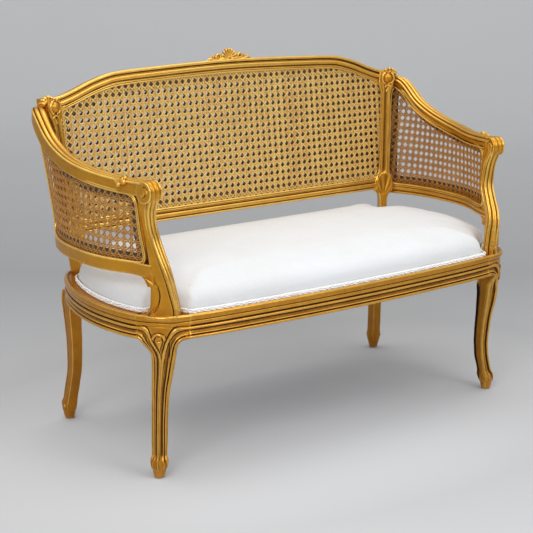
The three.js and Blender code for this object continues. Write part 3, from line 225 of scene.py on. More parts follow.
class Layout:
    """Places and curves that follow from the sizes, in metres."""

    def __init__(self, sizes):
        self.sizes = sizes
        self.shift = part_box("front_seat_rail")[0].y + sizes.front_overhang
        half, depth = sizes.seat_half_width, sizes.seat_depth
        front = [(a * half, b * depth - sizes.front_overhang + self.shift, 0) for a, b in PLAN]
        self.plan = np.array(front + [(-x, y, z) for x, y, z in reversed(front[1:-1])])
        self.rail_top = sizes.rail_top
        self.rail_bottom = sizes.rail_top - sizes.rail_height
        self.ledge = self.rail_top - 4 * MM
        self.crown = self.rail_top + sizes.crown_rise
        self.side_middle = self.crown + 19 * MM
        self.back_low = self.crown + 34 * MM
        self.arm_front = self.side_middle + sizes.side_height
        self.back_top = self.back_low + sizes.back_height
        self.stile_top = self.back_top - sizes.crest_fall + 2 * MM
        self.arm_rise = self.stile_top - 2 * MM - self.arm_front
        self.front_foot = self.plan[FRONT_CORNER] + np.array([8, 41, 0]) * MM
        self.rear_foot = self.plan[REAR_CORNER] + np.array([11, 7, 0]) * MM
        self.post_place = self.plan[FRONT_CORNER] + np.array([-12, 20, 0]) * MM
        self.stile_place = self.plan[REAR_CORNER] + np.array([-17, -58, 0]) * MM
        side_half = half + 7 * MM
        self.side_front = self.post_place[1] + 21 * MM
        self.side_run = self.stile_place[1] + 83 * MM - self.side_front
        run = self.side_front + self.side_run * np.linspace(0, 1, len(SIDE))
        table = np.array(SIDE)
        self.low_line = np.column_stack([table[:, 0] * side_half, run, np.full(len(run), self.side_middle)])
        self.arm_line = np.column_stack([
            table[:, 1] * side_half, run, self.arm_front + table[:, 2] * self.arm_rise
        ])
        turn = math.radians(20)
        self.face = np.array([math.cos(turn), -math.sin(turn), 0])
        self.facing_out = np.array([math.sin(turn), math.cos(turn), 0])
        lean = math.atan(0.114)
        self.back_front = np.array([0, -math.cos(lean), math.sin(lean)])
        self.back_up = np.array([0, math.sin(lean), math.cos(lean)])
        crest = []
        self.crest_half = self.stile_place[0] + 60 * MM
        for sign, table in ((-1, CREST[::-1]), (1, CREST[1:])):
            for a, fall in table:
                z = self.back_top - fall * sizes.crest_fall - 17 * MM
                crest.append((sign * a * self.crest_half, self.back_y(z), z))
        self.crest = np.array(crest)
        fine = spline(self.crest, np.linspace(0, 1, 200))
        self.crest_rows = fine[:, 0], fine[:, 2]

    def plan_at(self, station):
        share = np.atleast_1d(np.asarray(station, float)) / PLAN_COUNT
        at = spline(self.plan, share, closed=True)
        tangent = tangents(self.plan, share, closed=True)
        return at, tangent, np.column_stack([tangent[:, 1], -tangent[:, 0], np.zeros(len(tangent))])

    def stile_at(self, z):
        rise = np.asarray(z, float) - self.ledge
        x, y = self.stile_place[:2]
        return np.stack([x + 0.102 * rise, y + 0.114 * rise, np.asarray(z, float)], axis=-1)

    def back_y(self, z):
        return self.stile_place[1] + 0.114 * (z - self.ledge) + 24 * MM

    def stile_rows(self, z):
        foot = self.ledge + 0.3 * MM
        level = np.where(
            z < self.back_low, (z - foot) / (self.back_low - foot),
            1 + (z - self.back_low) / (self.stile_top - self.back_low)
        )
        return rows(STILE, level)

    def side_at(self, y, z, inset=0.0):
        """Point on the side panel's surface, moved inwards by inset, and its outward normal."""
        y, z = np.broadcast_arrays(np.asarray(y, float), np.asarray(z, float))
        shape = y.shape
        y, z = y.ravel(), z.ravel()
        share = np.clip((y - self.side_front) / self.side_run, 0, 1)
        low, high = spline(self.low_line, share, power=0), spline(self.arm_line, share, power=0)
        rise = (z - low[:, 2]) / (high[:, 2] - low[:, 2])
        slopes = [
            t[:, 0] / t[:, 1]
            for t in (tangents(self.low_line, share, power=0), tangents(self.arm_line, share, power=0))
        ]
        lean = slopes[0] + (slopes[1] - slopes[0]) * rise
        out = unit(np.column_stack([np.ones(len(lean)), -lean, np.zeros(len(lean))]))
        x = low[:, 0] + (high[:, 0] - low[:, 0]) * rise
        at = np.column_stack([x, y, z]) - out * np.asarray(inset, float).reshape(-1, 1)
        return at.reshape(shape + (3,)), out.reshape(shape + (3,))

    def arm_top(self, y):
        share = np.clip((np.asarray(y, float) - self.side_front) / self.side_run, 0, 1)
        return spline(self.arm_line, share, power=0)[:, 2]


# Modelling steps

def deselect():
    if bpy.context.object and bpy.context.object.mode != "OBJECT":
        bpy.ops.object.mode_set(mode="OBJECT")
    bpy.ops.object.select_all(action="DESELECT")


def coordinates(obj):
    co = np.empty(len(obj.data.vertices) * 3)
    obj.data.vertices.foreach_get("co", co)
    return co.reshape(-1, 3)


def place_points(obj, points):
    obj.data.vertices.foreach_set("co", np.asarray(points, float).ravel())
    obj.data.update()


def edit(obj, *steps):
    """Runs edit-mode steps on the whole of a mesh."""
    deselect()
    obj.select_set(True)
    bpy.context.view_layer.objects.active = obj
    bpy.ops.object.mode_set(mode="EDIT")
    bpy.ops.mesh.select_all(action="SELECT")
    for step in steps:
        step()
    bpy.ops.object.mode_set(mode="OBJECT")


def outward():
    bpy.ops.mesh.normals_make_consistent(inside=False)


def rounded_off(obj, angle=50):
    deselect()
    obj.select_set(True)
    bpy.context.view_layer.objects.active = obj
    bpy.ops.object.shade_smooth_by_angle(angle=math.radians(angle))


def bar(name, rings, angle=50):
    """A bar cut into rings along its length, each ring then carved to its own outline."""
    rings = np.asarray(rings, float)
    count, around = rings.shape[:2]
    deselect()
    bpy.ops.mesh.primitive_cylinder_add(
        vertices=around, radius=1, depth=count - 1, end_fill_type="NGON", location=(0, 0, 0)
    )
    obj = bpy.context.active_object
    obj.name = obj.data.name = name
    co = coordinates(obj)
    bpy.context.tool_settings.mesh_select_mode = (False, True, False)
    for edge in obj.data.edges:
        a, b = edge.vertices
        edge.select = abs(co[a][2] - co[b][2]) > 0.5
    for vertex in obj.data.vertices:
        vertex.select = False
    for polygon in obj.data.polygons:
        polygon.select = False
    if count > 2:
        bpy.ops.object.mode_set(mode="EDIT")
        bpy.ops.mesh.subdivide(number_cuts=count - 2)
        bpy.ops.object.mode_set(mode="OBJECT")
    bpy.context.tool_settings.mesh_select_mode = (True, False, False)
    co = coordinates(obj)
    along = np.rint(co[:, 2] + (count - 1) / 2).astype(int)
    turn = np.arctan2(co[:, 1], co[:, 0]) - math.atan2(co[0][1], co[0][0])
    across = np.rint(turn / (2 * math.pi / around)).astype(int) % around
    place_points(obj, rings[along, across])
    edit(obj, outward)
    rounded_off(obj, angle)
    return obj


def hoop(name, rings, angle=50):
    """A closed moulding: a torus whose rings are carved one by one."""
    rings = np.asarray(rings, float)
    count, around = rings.shape[:2]
    deselect()
    bpy.ops.mesh.primitive_torus_add(
        major_segments=count, minor_segments=around, major_radius=2, minor_radius=0.5, location=(0, 0, 0)
    )
    obj = bpy.context.active_object
    obj.name = obj.data.name = name
    co = coordinates(obj)
    along = np.rint(np.arctan2(co[:, 1], co[:, 0]) / (2 * math.pi / count)).astype(int) % count
    out = np.hypot(co[:, 0], co[:, 1]) - 2
    across = np.rint(np.arctan2(co[:, 2], out) / (2 * math.pi / around)).astype(int) % around
    place_points(obj, rings[along, across])
    for uv in list(obj.data.uv_layers):
        obj.data.uv_layers.remove(uv)
    edit(obj, outward)
    rounded_off(obj, angle)
    return obj


def joined(name, parts):
    deselect()
    for part in parts:
        part.select_set(True)
    bpy.context.view_layer.objects.active = parts[0]
    if len(parts) > 1:
        bpy.ops.object.join()
    obj = bpy.context.active_object
    obj.name = obj.data.name = name
    return obj


def mirror_copy(obj, name):
    """The same piece for the other side, with its own mesh."""
    deselect()
    obj.select_set(True)
    bpy.context.view_layer.objects.active = obj
    bpy.ops.object.duplicate()
    twin = bpy.context.active_object
    twin.name = twin.data.name = name
    place_points(twin, mirrored(coordinates(twin), -1))
    edit(twin, bpy.ops.mesh.flip_normals)
    return twin


def mark_carving(obj, reach):
    """Keeps how hollow or how raised each point of a piece is, for the gilding to read: it paints the hollows
    dark (partly patina, partly painted shade) and the raised points bright (partly rubbed gold, partly
    painted highlight).
    """
    mesh = obj.data
    co = coordinates(obj)
    normal = np.empty(len(co) * 3)
    mesh.vertex_normals.foreach_get("vector", normal)
    normal = normal.reshape(-1, 3)
    ends = np.empty(len(mesh.edges) * 2, int)
    mesh.edges.foreach_get("vertices", ends)
    a, b = ends.reshape(-1, 2).T
    step = co[b] - co[a]
    length2 = np.maximum(np.sum(step ** 2, axis=1), 1e-10)
    weight = 1 / np.sqrt(length2)
    value = np.zeros(len(co))
    total = np.zeros(len(co))
    for one, way in ((a, 1), (b, -1)):
        bend = 2 * way * np.sum(step * normal[one], axis=1) / length2
        np.add.at(value, one, bend * weight)
        np.add.at(total, one, weight)
    value = value / np.maximum(total, 1e-9) * reach
    for _ in range(2):
        blur = value.copy()
        share = np.ones(len(co))
        np.add.at(blur, a, value[b])
        np.add.at(share, a, 1)
        np.add.at(blur, b, value[a])
        np.add.at(share, b, 1)
        value = blur / share
    hollow = np.clip(0.5 + 0.5 * np.tanh(1.6 * value), 0, 1)
    layer = mesh.attributes.get("carving") or mesh.attributes.new("carving", "FLOAT", "POINT")
    layer.data.foreach_set("value", hollow)


def dress(obj, material, slot, *nodes):
    """Gives a finished piece its material and its place in the frame."""
    obj.data.materials.clear()
    obj.data.materials.append(material)
    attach(obj, "root")
    if nodes:
        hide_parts(*nodes)
    return obj


def gilt(obj, *nodes, reach=2.2 * MM):
    mark_carving(obj, reach)
    return dress(obj, gilding(), "gilt_wood", *nodes)


# Finishes

def fresh(name):
    known = bpy.data.materials.get(name)
    if known:
        return known, None
    material = bpy.data.materials.new(name)
    material.use_nodes = True
    return material, material.node_tree


def node(tree, kind, inputs=None, **settings):
    made = tree.nodes.new(kind)
    for key, value in settings.items():
        setattr(made, key, value)
    for key, value in (inputs or {}).items():
        if isinstance(value, bpy.types.NodeSocket):
            tree.links.new(value, made.inputs[key])
        else:
            made.inputs[key].default_value = value
    return made


def ramp(tree, factor, stops):
    made = node(tree, "ShaderNodeValToRGB", {"Fac": factor})
    band = made.color_ramp
    while len(band.elements) < len(stops):
        band.elements.new(0.5)
    for element, (at, colour) in zip(band.elements, stops):
        element.position = at
        element.color = (*colour, 1)
    return made.outputs["Color"]


def mix(tree, factor, one, other, blend="MIX"):
    made = node(tree, "ShaderNodeMix", data_type="RGBA", blend_type=blend)
    for socket, value in ((0, factor), (6, one), (7, other)):
        if isinstance(value, bpy.types.NodeSocket):
            tree.links.new(value, made.inputs[socket])
        elif socket:
            made.inputs[socket].default_value = (*value, 1) if len(value) == 3 else value
        else:
            made.inputs[socket].default_value = value
    return made.outputs[2]


def maths(tree, operation, *values):
    made = node(tree, "ShaderNodeMath", operation=operation)
    for k, value in enumerate(values):
        if isinstance(value, bpy.types.NodeSocket):
            tree.links.new(value, made.inputs[k])
        else:
            made.inputs[k].default_value = value
    return made.outputs[0]


def noise(tree, scale, detail=4, roughness=0.55, vector=None):
    where = vector or node(tree, "ShaderNodeTexCoord").outputs["Object"]
    return node(
        tree, "ShaderNodeTexNoise",
        {"Vector": where, "Scale": scale, "Detail": detail, "Roughness": roughness}
    ).outputs["Fac"]


def stretched(tree, scale):
    where = node(tree, "ShaderNodeTexCoord").outputs["Object"]
    return node(tree, "ShaderNodeMapping", {"Vector": where, "Scale": scale}).outputs["Vector"]


def bumped(tree, height, strength, distance):
    return node(
        tree, "ShaderNodeBump", {"Height": height, "Strength": strength, "Distance": distance}
    ).outputs["Normal"]


def gilding():
    """Antique gold leaf over red-brown clay: bright on raised edges, dark in the hollows.
    The dark hollows are partly the brown patina of old gilding and partly painted shade;
    the bright raised edges are partly rubbed gold and partly painted highlight.
    """
    material, tree = fresh("antique_gilding")
    if tree is None:
        return material
    colours = bpy.context.scene.settee_finishes
    shader = tree.nodes["Principled BSDF"]
    carving = node(tree, "ShaderNodeAttribute", attribute_name="carving").outputs["Fac"]
    cloudy = noise(tree, 9, 5, 0.6)
    fine = noise(tree, 160, 4, 0.65)
    worn = maths(tree, "MULTIPLY_ADD", fine, 0.2, maths(tree, "MULTIPLY_ADD", cloudy, 0.14, -0.17))
    depth = maths(tree, "ADD", carving, worn)
    gold, glow, shade = (tuple(c) for c in (colours.gold, colours.gold_raised, colours.gold_hollow))
    middle = tuple((a + b) / 2 for a, b in zip(gold, shade))
    # Raised points take the bright colour and hollows the near-black one: partly rubbed gold and patina,
    # partly painted highlight and painted shade.
    base = ramp(tree, depth, [(0.12, glow), (0.4, gold), (0.55, gold), (0.66, middle), (0.8, shade)])
    # Gilding is darker towards the floor, below about half a metre: painted shade on the legs.
    level = node(
        tree, "ShaderNodeSeparateXYZ", {"Vector": node(tree, "ShaderNodeTexCoord").outputs["Object"]}
    ).outputs["Z"]
    base = mix(tree, 1.0, base, ramp(tree, level, [(0.28, (0.74, 0.62, 0.45)), (0.5, (1, 1, 1))]), "MULTIPLY")
    patches = ramp(tree, noise(tree, 34, 6, 0.7), [(0.35, (0.72, 0.6, 0.45)), (0.7, (1, 1, 1))])
    base = mix(tree, 0.55, base, patches, "MULTIPLY")
    tree.links.new(base, shader.inputs["Base Color"])
    shader.inputs["Metallic"].default_value = 0.72
    rough = maths(tree, "MULTIPLY_ADD", carving, 0.3, maths(tree, "MULTIPLY_ADD", cloudy, 0.16, 0.1))
    tree.links.new(rough, shader.inputs["Roughness"])
    shader.inputs["Specular IOR Level"].default_value = 0.5
    brushed = noise(tree, 40, 3, 0.5, stretched(tree, (1, 1, 6)))
    relief = maths(tree, "ADD", maths(tree, "MULTIPLY", fine, 0.6), maths(tree, "MULTIPLY", brushed, 0.4))
    tree.links.new(bumped(tree, relief, 0.25, 0.0008), shader.inputs["Normal"])
    return material


def cane_finish(name, depth, hidden=None):
    """Split rattan: glossy, with long fibres and small colour changes from strand to strand.
    Faces turned to the hidden side, between two sheets, are painted near black as the shade between the
    sheets."""
    material, tree = fresh(name)
    if tree is None:
        return material
    # depth scales the cane colour; the side panels' darker shares are painted shade.
    colour = tuple(share * c for share, c in zip(depth, bpy.context.scene.settee_finishes.cane))
    shader = tree.nodes["Principled BSDF"]
    strand = node(tree, "ShaderNodeAttribute", attribute_name="strand").outputs["Fac"]
    patchy = noise(tree, 60, 5, 0.7)
    dark = tuple(share * c for share, c in zip((0.5, 0.42, 0.34), colour))
    pale = tuple(min(1, share * c) for share, c in zip((1.3, 1.62, 2.3), colour))
    base = mix(
        tree, maths(tree, "MULTIPLY_ADD", strand, 0.5, maths(tree, "MULTIPLY", patchy, 0.5)), dark, pale
    )
    base = mix(
        tree, ramp(tree, noise(tree, 210, 3, 0.5), [(0.35, (0, 0, 0)), (0.75, (0.45, 0.45, 0.45))]),
        base, colour
    )
    facing = node(tree, "ShaderNodeNewGeometry").outputs["Normal"]
    # Painted shade: faces turned into the gap between two sheets get a near-black cane colour.
    if hidden:
        turned = node(
            tree, "ShaderNodeVectorMath", {0: facing, 1: hidden}, operation="DOT_PRODUCT"
        ).outputs["Value"]
        base = mix(
            tree, ramp(tree, turned, [(0.1, (0, 0, 0)), (0.4, (1, 1, 1))]), base,
            tuple(0.12 * c for c in colour)
        )
    tree.links.new(base, shader.inputs["Base Color"])
    shader.inputs["Roughness"].default_value = 0.38
    shader.inputs["Metallic"].default_value = 0.15
    fibres = noise(tree, 900, 2, 0.5)
    tree.links.new(bumped(tree, fibres, 0.3, 0.0003), shader.inputs["Normal"])
    return material


def woven_cloth(name, colour, pitch, depth=0.25, rough=0.9, sheen=0.25):
    """Plain weave with slubs."""
    material, tree = fresh(name)
    if tree is None:
        return material
    shader = tree.nodes["Principled BSDF"]
    where = node(tree, "ShaderNodeTexCoord").outputs["Object"]
    axes = node(tree, "ShaderNodeSeparateXYZ", {"Vector": where}).outputs
    turn = 2 * math.pi / pitch
    warp = maths(tree, "SINE", maths(tree, "MULTIPLY", axes[0], turn))
    tall = maths(tree, "ADD", axes[1], axes[2])
    weft = maths(tree, "SINE", maths(tree, "MULTIPLY", tall, turn))
    weave = maths(tree, "MULTIPLY", warp, weft)
    slubs = noise(tree, 240, 3, 0.6, stretched(tree, (1, 0.16, 0.16)))
    cross = noise(tree, 240, 3, 0.6, stretched(tree, (0.16, 1, 1)))
    threads = maths(tree, "ADD", slubs, cross)
    shade = maths(tree, "MULTIPLY_ADD", threads, 0.5, maths(tree, "MULTIPLY", weave, 0.06))
    dull = tuple(0.86 * c for c in colour)
    base = mix(tree, shade, dull, tuple(colour))
    soil = ramp(tree, noise(tree, 5, 4, 0.6), [(0.3, (0.95, 0.94, 0.92)), (0.7, (1, 1, 1))])
    tree.links.new(mix(tree, 1.0, base, soil, "MULTIPLY"), shader.inputs["Base Color"])
    shader.inputs["Roughness"].default_value = rough
    shader.inputs["Sheen Weight"].default_value = sheen
    shader.inputs["Specular IOR Level"].default_value = 0.2
    height = maths(tree, "ADD", maths(tree, "MULTIPLY", weave, 0.5), threads)
    tree.links.new(bumped(tree, height, depth, 0.0006), shader.inputs["Normal"])
    return material


def plain_wood():
    material, tree = fresh("plain_beech")
    if tree is None:
        return material
    shader = tree.nodes["Principled BSDF"]
    grain = noise(tree, 26, 6, 0.62, stretched(tree, (1, 7, 9)))
    flecks = noise(tree, 300, 2, 0.5, stretched(tree, (0.3, 1, 1)))
    base = ramp(
        tree, grain, [(0.3, (0.33, 0.19, 0.09)), (0.55, (0.5, 0.31, 0.16)), (0.75, (0.6, 0.41, 0.23))]
    )
    base = mix(tree, maths(tree, "MULTIPLY", flecks, 0.3), base, (0.25, 0.13, 0.06))
    tree.links.new(base, shader.inputs["Base Color"])
    tree.links.new(maths(tree, "MULTIPLY_ADD", grain, 0.2, 0.55), shader.inputs["Roughness"])
    tree.links.new(bumped(tree, grain, 0.3, 0.0005), shader.inputs["Normal"])
    return material


def plain_steel():
    material, tree = fresh("dull_steel")
    if tree is None:
        return material
    shader = tree.nodes["Principled BSDF"]
    smudge = noise(tree, 180, 4, 0.6)
    base = ramp(tree, smudge, [(0.3, (0.32, 0.31, 0.3)), (0.7, (0.55, 0.55, 0.54))])
    tree.links.new(base, shader.inputs["Base Color"])
    shader.inputs["Metallic"].default_value = 0.95
    tree.links.new(maths(tree, "MULTIPLY_ADD", smudge, 0.3, 0.2), shader.inputs["Roughness"])
    tree.links.new(bumped(tree, smudge, 0.15, 0.0002), shader.inputs["Normal"])
    return material


def shaded_rebate_finish():
    """Old brown size in the rebate that the cane is tacked to, painted near black as the shade seen through
    the cane's border holes.
    """
    material, tree = fresh("rebate_painted_shade")
    if tree is None:
        return material
    shader = tree.nodes["Principled BSDF"]
    streaks = noise(tree, 90, 4, 0.6)
    base = ramp(tree, streaks, [(0.3, (0.035, 0.018, 0.007)), (0.75, (0.1, 0.055, 0.02))])
    tree.links.new(base, shader.inputs["Base Color"])
    shader.inputs["Roughness"].default_value = 0.7
    tree.links.new(bumped(tree, streaks, 0.3, 0.0005), shader.inputs["Normal"])
    return material


# Seat frame

def rail_depth(height):
    """Depth of the carved face at a height over the lower edge, in metres."""
    table = np.array(RAIL_FACE)
    return np.interp(np.asarray(height) / MM, table[:, 0], table[:, 1]) * MM


def rail_outline(thickness):
    face = [(-depth, height) for height, depth in RAIL_FACE]
    top = [
        (-6, 57), (-8, 56.6), (-8.6, 53.4), (-10, 53), (-12, 53), (-15, 53), (-thickness + 3, 53),
        (-thickness, 53), (-thickness, 26), (-thickness, 0), (-7, 0)
    ]
    return np.array(face + top) * MM


def arc_table(lay, count=2400):
    stations = np.linspace(0, PLAN_COUNT, count + 1)
    at = lay.plan_at(stations)[0]
    reach = np.concatenate([[0], np.cumsum(np.linalg.norm(np.diff(at, axis=0), axis=1))])
    return stations, reach


def knee_station(lay):
    """Where the outline turns through half a right angle at the front corner."""
    stations = np.linspace(2.4, 4, 200)
    tangent = lay.plan_at(stations)[1]
    return stations[np.argmin(np.abs(tangent[:, 0] - tangent[:, 1]))]


def shifted_station(lay, station, distance):
    stations, reach = arc_table(lay)
    return float(np.interp(np.interp(station, stations, reach) + distance, reach, stations))


def rail_bar(lay, name, start, end, thickness, steps=60):
    share = np.linspace(start, end, steps)
    at, _, out = lay.plan_at(share)
    outline = rail_outline(thickness)
    rings = at[:, None] + out[:, None] * outline[None, :, :1] + UP * (lay.rail_bottom + outline[None, :, 1:])
    return bar(name, rings)


KNEE_REACH = 77 * MM
KNEE_SIDE_REACH = 56 * MM
KNEE_FOOT = 294 * MM
CARVED = 31 * MM
ANKLE = 37 * MM
KNOB = 4.4 * MM


def leg_rows(table, height, foot, sweep, waist, bottom, top):
    """Centre x and y, half size and roundness of a leg at heights."""
    read = rows(table, np.clip((height - bottom) / (top - bottom), 0, 1.03))
    x = foot[0] + (read[:, 0] - table[0][1]) * sweep
    y = foot[1] + (read[:, 1] - table[0][2]) * sweep
    return x, y, read[:, 2] * waist, np.clip(read[:, 3], 0, 1)


def front_leg(lay, name):
    """The front leg with its corner of the seat frame: the rail mouldings sweep down into the leg."""
    sizes = lay.sizes
    stations, reach = arc_table(lay)
    corner = np.interp(knee_station(lay), stations, reach)
    bottom, low, top = 3 * MM, lay.rail_bottom, lay.rail_top
    foot = lay.front_foot
    across = np.linspace(-1, 1, 145)

    def leg(height):
        return leg_rows(FRONT_LEG, np.atleast_1d(height), foot, sizes.leg_sweep, sizes.leg_waist, bottom, low)

    knee_half = 2 * leg(KNEE_FOOT)[2][0]
    heights = np.concatenate([np.linspace(bottom, 50 * MM, 34), np.linspace(52 * MM, KNEE_FOOT, 62)])
    turn = np.linspace(0, math.pi / 2, 62)[1:]
    level = low + 35 * MM
    straight_z = np.linspace(level, top, 50)[1:]
    sweep_s = [
        knee_half + (reach_ - knee_half) * (1 - np.cos(turn) ** 0.55)
        for reach_ in (KNEE_REACH, KNEE_SIDE_REACH)
    ]
    turn_z = KNEE_FOOT + (low - KNEE_FOOT) * np.sin(turn) ** 0.55
    edge_s, side_s = (
        np.concatenate([2 * leg(heights)[2], turn_s, np.full(46 + len(straight_z), turn_s[-1])])
        for turn_s in sweep_s
    )
    edge_z = np.concatenate([heights, turn_z, np.linspace(low, level, 47)[1:], straight_z])
    arch = low + 14 * MM
    middle_z = np.concatenate([
        heights, np.linspace(KNEE_FOOT, arch, 62)[1:], np.linspace(arch, level, 47)[1:], straight_z
    ])
    s = np.where(across > 0, edge_s[:, None], side_s[:, None]) * across
    z = edge_z[:, None] + (middle_z - edge_z)[:, None] * (1 - np.abs(across) ** 2)

    line_z = np.concatenate([heights, turn_z, [low]])
    lines = [np.concatenate([2 * leg(heights)[2], turn_s, [turn_s[-1] + 0.1]]) for turn_s in sweep_s]
    fine = np.concatenate([
        evenly(np.column_stack([line * way, line_z]), 600, closed=False) for line, way in zip(lines, (1, -1))
    ])
    away = np.full(s.shape, 1.0)
    for start in range(0, len(fine), 100):
        part = fine[start:start + 100]
        gap = np.hypot(s[..., None] - part[:, 0], z[..., None] - part[:, 1])
        away = np.minimum(away, gap.min(axis=-1))
    x, y, half, round_ = (v.reshape(z.shape) for v in leg(z.ravel()))
    flare = smooth_step(z, KNEE_FOOT, low)
    width = 2 * half / (29.5 * MM)
    spread = np.interp(
        z, np.array([283, 303, 318, 330, 341, 350, 360, 372]) * MM,
        [1.32, 1.3, 1.12, 1.08, 1.05, 1.1, 1.2, 1.35]
    )
    width = width + (spread - width) * smooth_step(z, KNEE_FOOT - 20 * MM, KNEE_FOOT - 4 * MM)
    near_end = np.maximum(
        smooth_step(s, 24 * MM, KNEE_REACH - 2 * MM), smooth_step(-s, 24 * MM, KNEE_SIDE_REACH - 2 * MM)
    )
    straight = near_end * smooth_step(z, KNEE_FOOT - 10 * MM, KNEE_FOOT + 25 * MM)
    away = away / (width * (1 - straight) + straight)
    height = z - low
    upper = np.where(height > CARVED, rail_depth(np.maximum(height, 0)), 2.8 * MM)
    depth = np.where(away < CARVED, rail_depth(away), upper)
    depth = np.where((height > 0) & (np.abs(across) > 0.98), rail_depth(np.maximum(height, 0)), depth)
    # arched cabochon and its drop, between the two swept mouldings
    from_eye = np.hypot(s / 1.12, z - low - 1 * MM)
    above = smooth_step(z, low - 0.5 * MM, low + 1 * MM)
    ring = hump(from_eye - 13 * MM, 3.4 * MM) * above
    inner = hump(from_eye, 7.4 * MM) * above
    tip = low - 25 * MM
    drop_half = 9 * MM * np.clip((z - tip) / (23 * MM), 0.01, 1)
    drop = hump(s, drop_half) * smooth_step(-z, -low + 1 * MM, -low + 3 * MM) * (z > tip)
    hollow = (
        smooth_step(CARVED - away, -6 * MM, 0) * smooth_step(-z, -low - 20 * MM, -low - 6 * MM)
        * (np.abs(s) < 26 * MM)
    )
    depth = (
        depth + 1.6 * MM * hollow - 3.8 * MM * np.sqrt(ring) - 2.4 * MM * np.sqrt(inner)
        - 3.4 * MM * np.sqrt(drop)
    )
    # leaf that laps over the top bead under the arm post
    lap = hump(s, 34 * MM) * smooth_step(z, top - 19 * MM, top - 5 * MM)
    depth = depth - lap * 3.2 * MM
    depth = depth * (0.85 + 0.15 * flare) * smooth_step(z, 22 * MM, 46 * MM)

    soft = 5 * MM
    reach_soft = np.sqrt(s ** 2 + soft ** 2)
    right, front = half - (s + reach_soft) / 2, -(half - (reach_soft - s) / 2)
    turned = (1 + s / reach_soft) / 2
    normal = unit(np.stack([1 - turned, -turned, np.zeros_like(s)], axis=-1))
    far = np.maximum(np.hypot(right, front), 1e-6)
    right, front = (v * (1 - round_) + v / far * half * round_ for v in (right, front))
    leg_points = np.stack([x + right, y + front, z], axis=-1)
    station = np.interp(corner - s, reach, stations)
    at, _, out = lay.plan_at(station.ravel())
    at, out = at.reshape(s.shape + (3,)), out.reshape(s.shape + (3,))
    plan_points = at + UP * z[..., None]
    share = smooth_step(z, KNEE_FOOT - 6 * MM, low + 2 * MM)[..., None]
    normal = unit(normal * (1 - share) + out * share)
    outer = leg_points * (1 - share) + plan_points * share - normal * depth[..., None]

    thick = 2 * np.interp(edge_z, heights, leg(heights)[2])
    thick = thick + (62 * MM - thick) * smooth_step(edge_s, knee_half, KNEE_REACH)
    ends = outer[:, -1], outer[:, 0]
    corners = [end - n * thick[:, None] * [1, 1, 0] for end, n in zip(ends, (normal[:, -1], normal[:, 0]))]

    def between(a, b, count):
        steps = np.linspace(0, 1, count + 2)[1:-1]
        return a[:, None] + (b - a)[:, None] * steps[:, None]

    inner_points = np.concatenate([
        between(ends[0], corners[0], 7), corners[0][:, None], between(corners[0], corners[1], 5),
        corners[1][:, None], between(corners[1], ends[1], 7),
    ], axis=1)
    roundness = round_[:, 0][:, None, None]
    middle = len(across) // 2
    centre = np.stack([x[:, middle], y[:, middle], edge_z], axis=-1)[:, None]
    flat = inner_points - centre
    far = np.maximum(np.linalg.norm(flat[..., :2], axis=-1, keepdims=True), 1e-6)
    inner_points = (
        centre + flat * (1 - roundness)
        + flat / far * half[:, middle][:, None, None] * roundness * [1, 1, 0]
    )
    rings = np.concatenate([outer, inner_points], axis=1)
    last_out = plan_points[-1] - out[-1] * 8 * MM
    for drop_by, inset in (
        (0, 0), (3.6 * MM, 0.6 * MM), (4 * MM, 2 * MM), (4 * MM, 4 * MM), (4 * MM, 7 * MM)
    ):
        lip = last_out - out[-1] * inset
        ring = np.concatenate([lip, inner_points[-1]])
        ring[:, 2] = top - drop_by
        rings = np.concatenate([rings, ring[None]])
    inner_count = inner_points.shape[1]
    rings[-7:, -inner_count:, 2] = np.minimum(rings[-7:, -inner_count:, 2], lay.ledge)
    leg_piece = bar(name + "_body", rings, angle=60)
    knobs = []
    for k in (0, -1):
        row = int(np.argmin(np.abs(heights - ANKLE)))
        inward = unit(outer[row, middle] - outer[row, k])
        knobs.append(curl_ball(
            outer[row, k] + inward * 5 * MM - normal[row, k] * 0.6 * MM,
            unit(normal[row, k] + normal[row, middle]), KNOB
        ))
    return joined(name, [leg_piece, *knobs])


def curl_ball(centre, facing, radius):
    """A small carved volute: a flattened ball with a turned groove."""
    facing = unit(np.asarray(facing, float))
    side = unit(np.cross(UP, facing))
    up = np.cross(facing, side)
    angle = np.linspace(0, 2 * math.pi, 25)[:-1]
    profile = [
        (0.05, 0.55), (0.28, 0.66), (0.42, 0.5), (0.56, 0.42), (0.72, 0.56), (0.9, 0.4), (1, 0),
        (0.9, -0.4), (0.5, -0.7), (0.05, -0.8)
    ]
    rings = [
        centre + radius * (reach * circle(angle, side, up) + rise * facing)
        for reach, rise in profile
    ]
    return bar("volute", rings, angle=70)


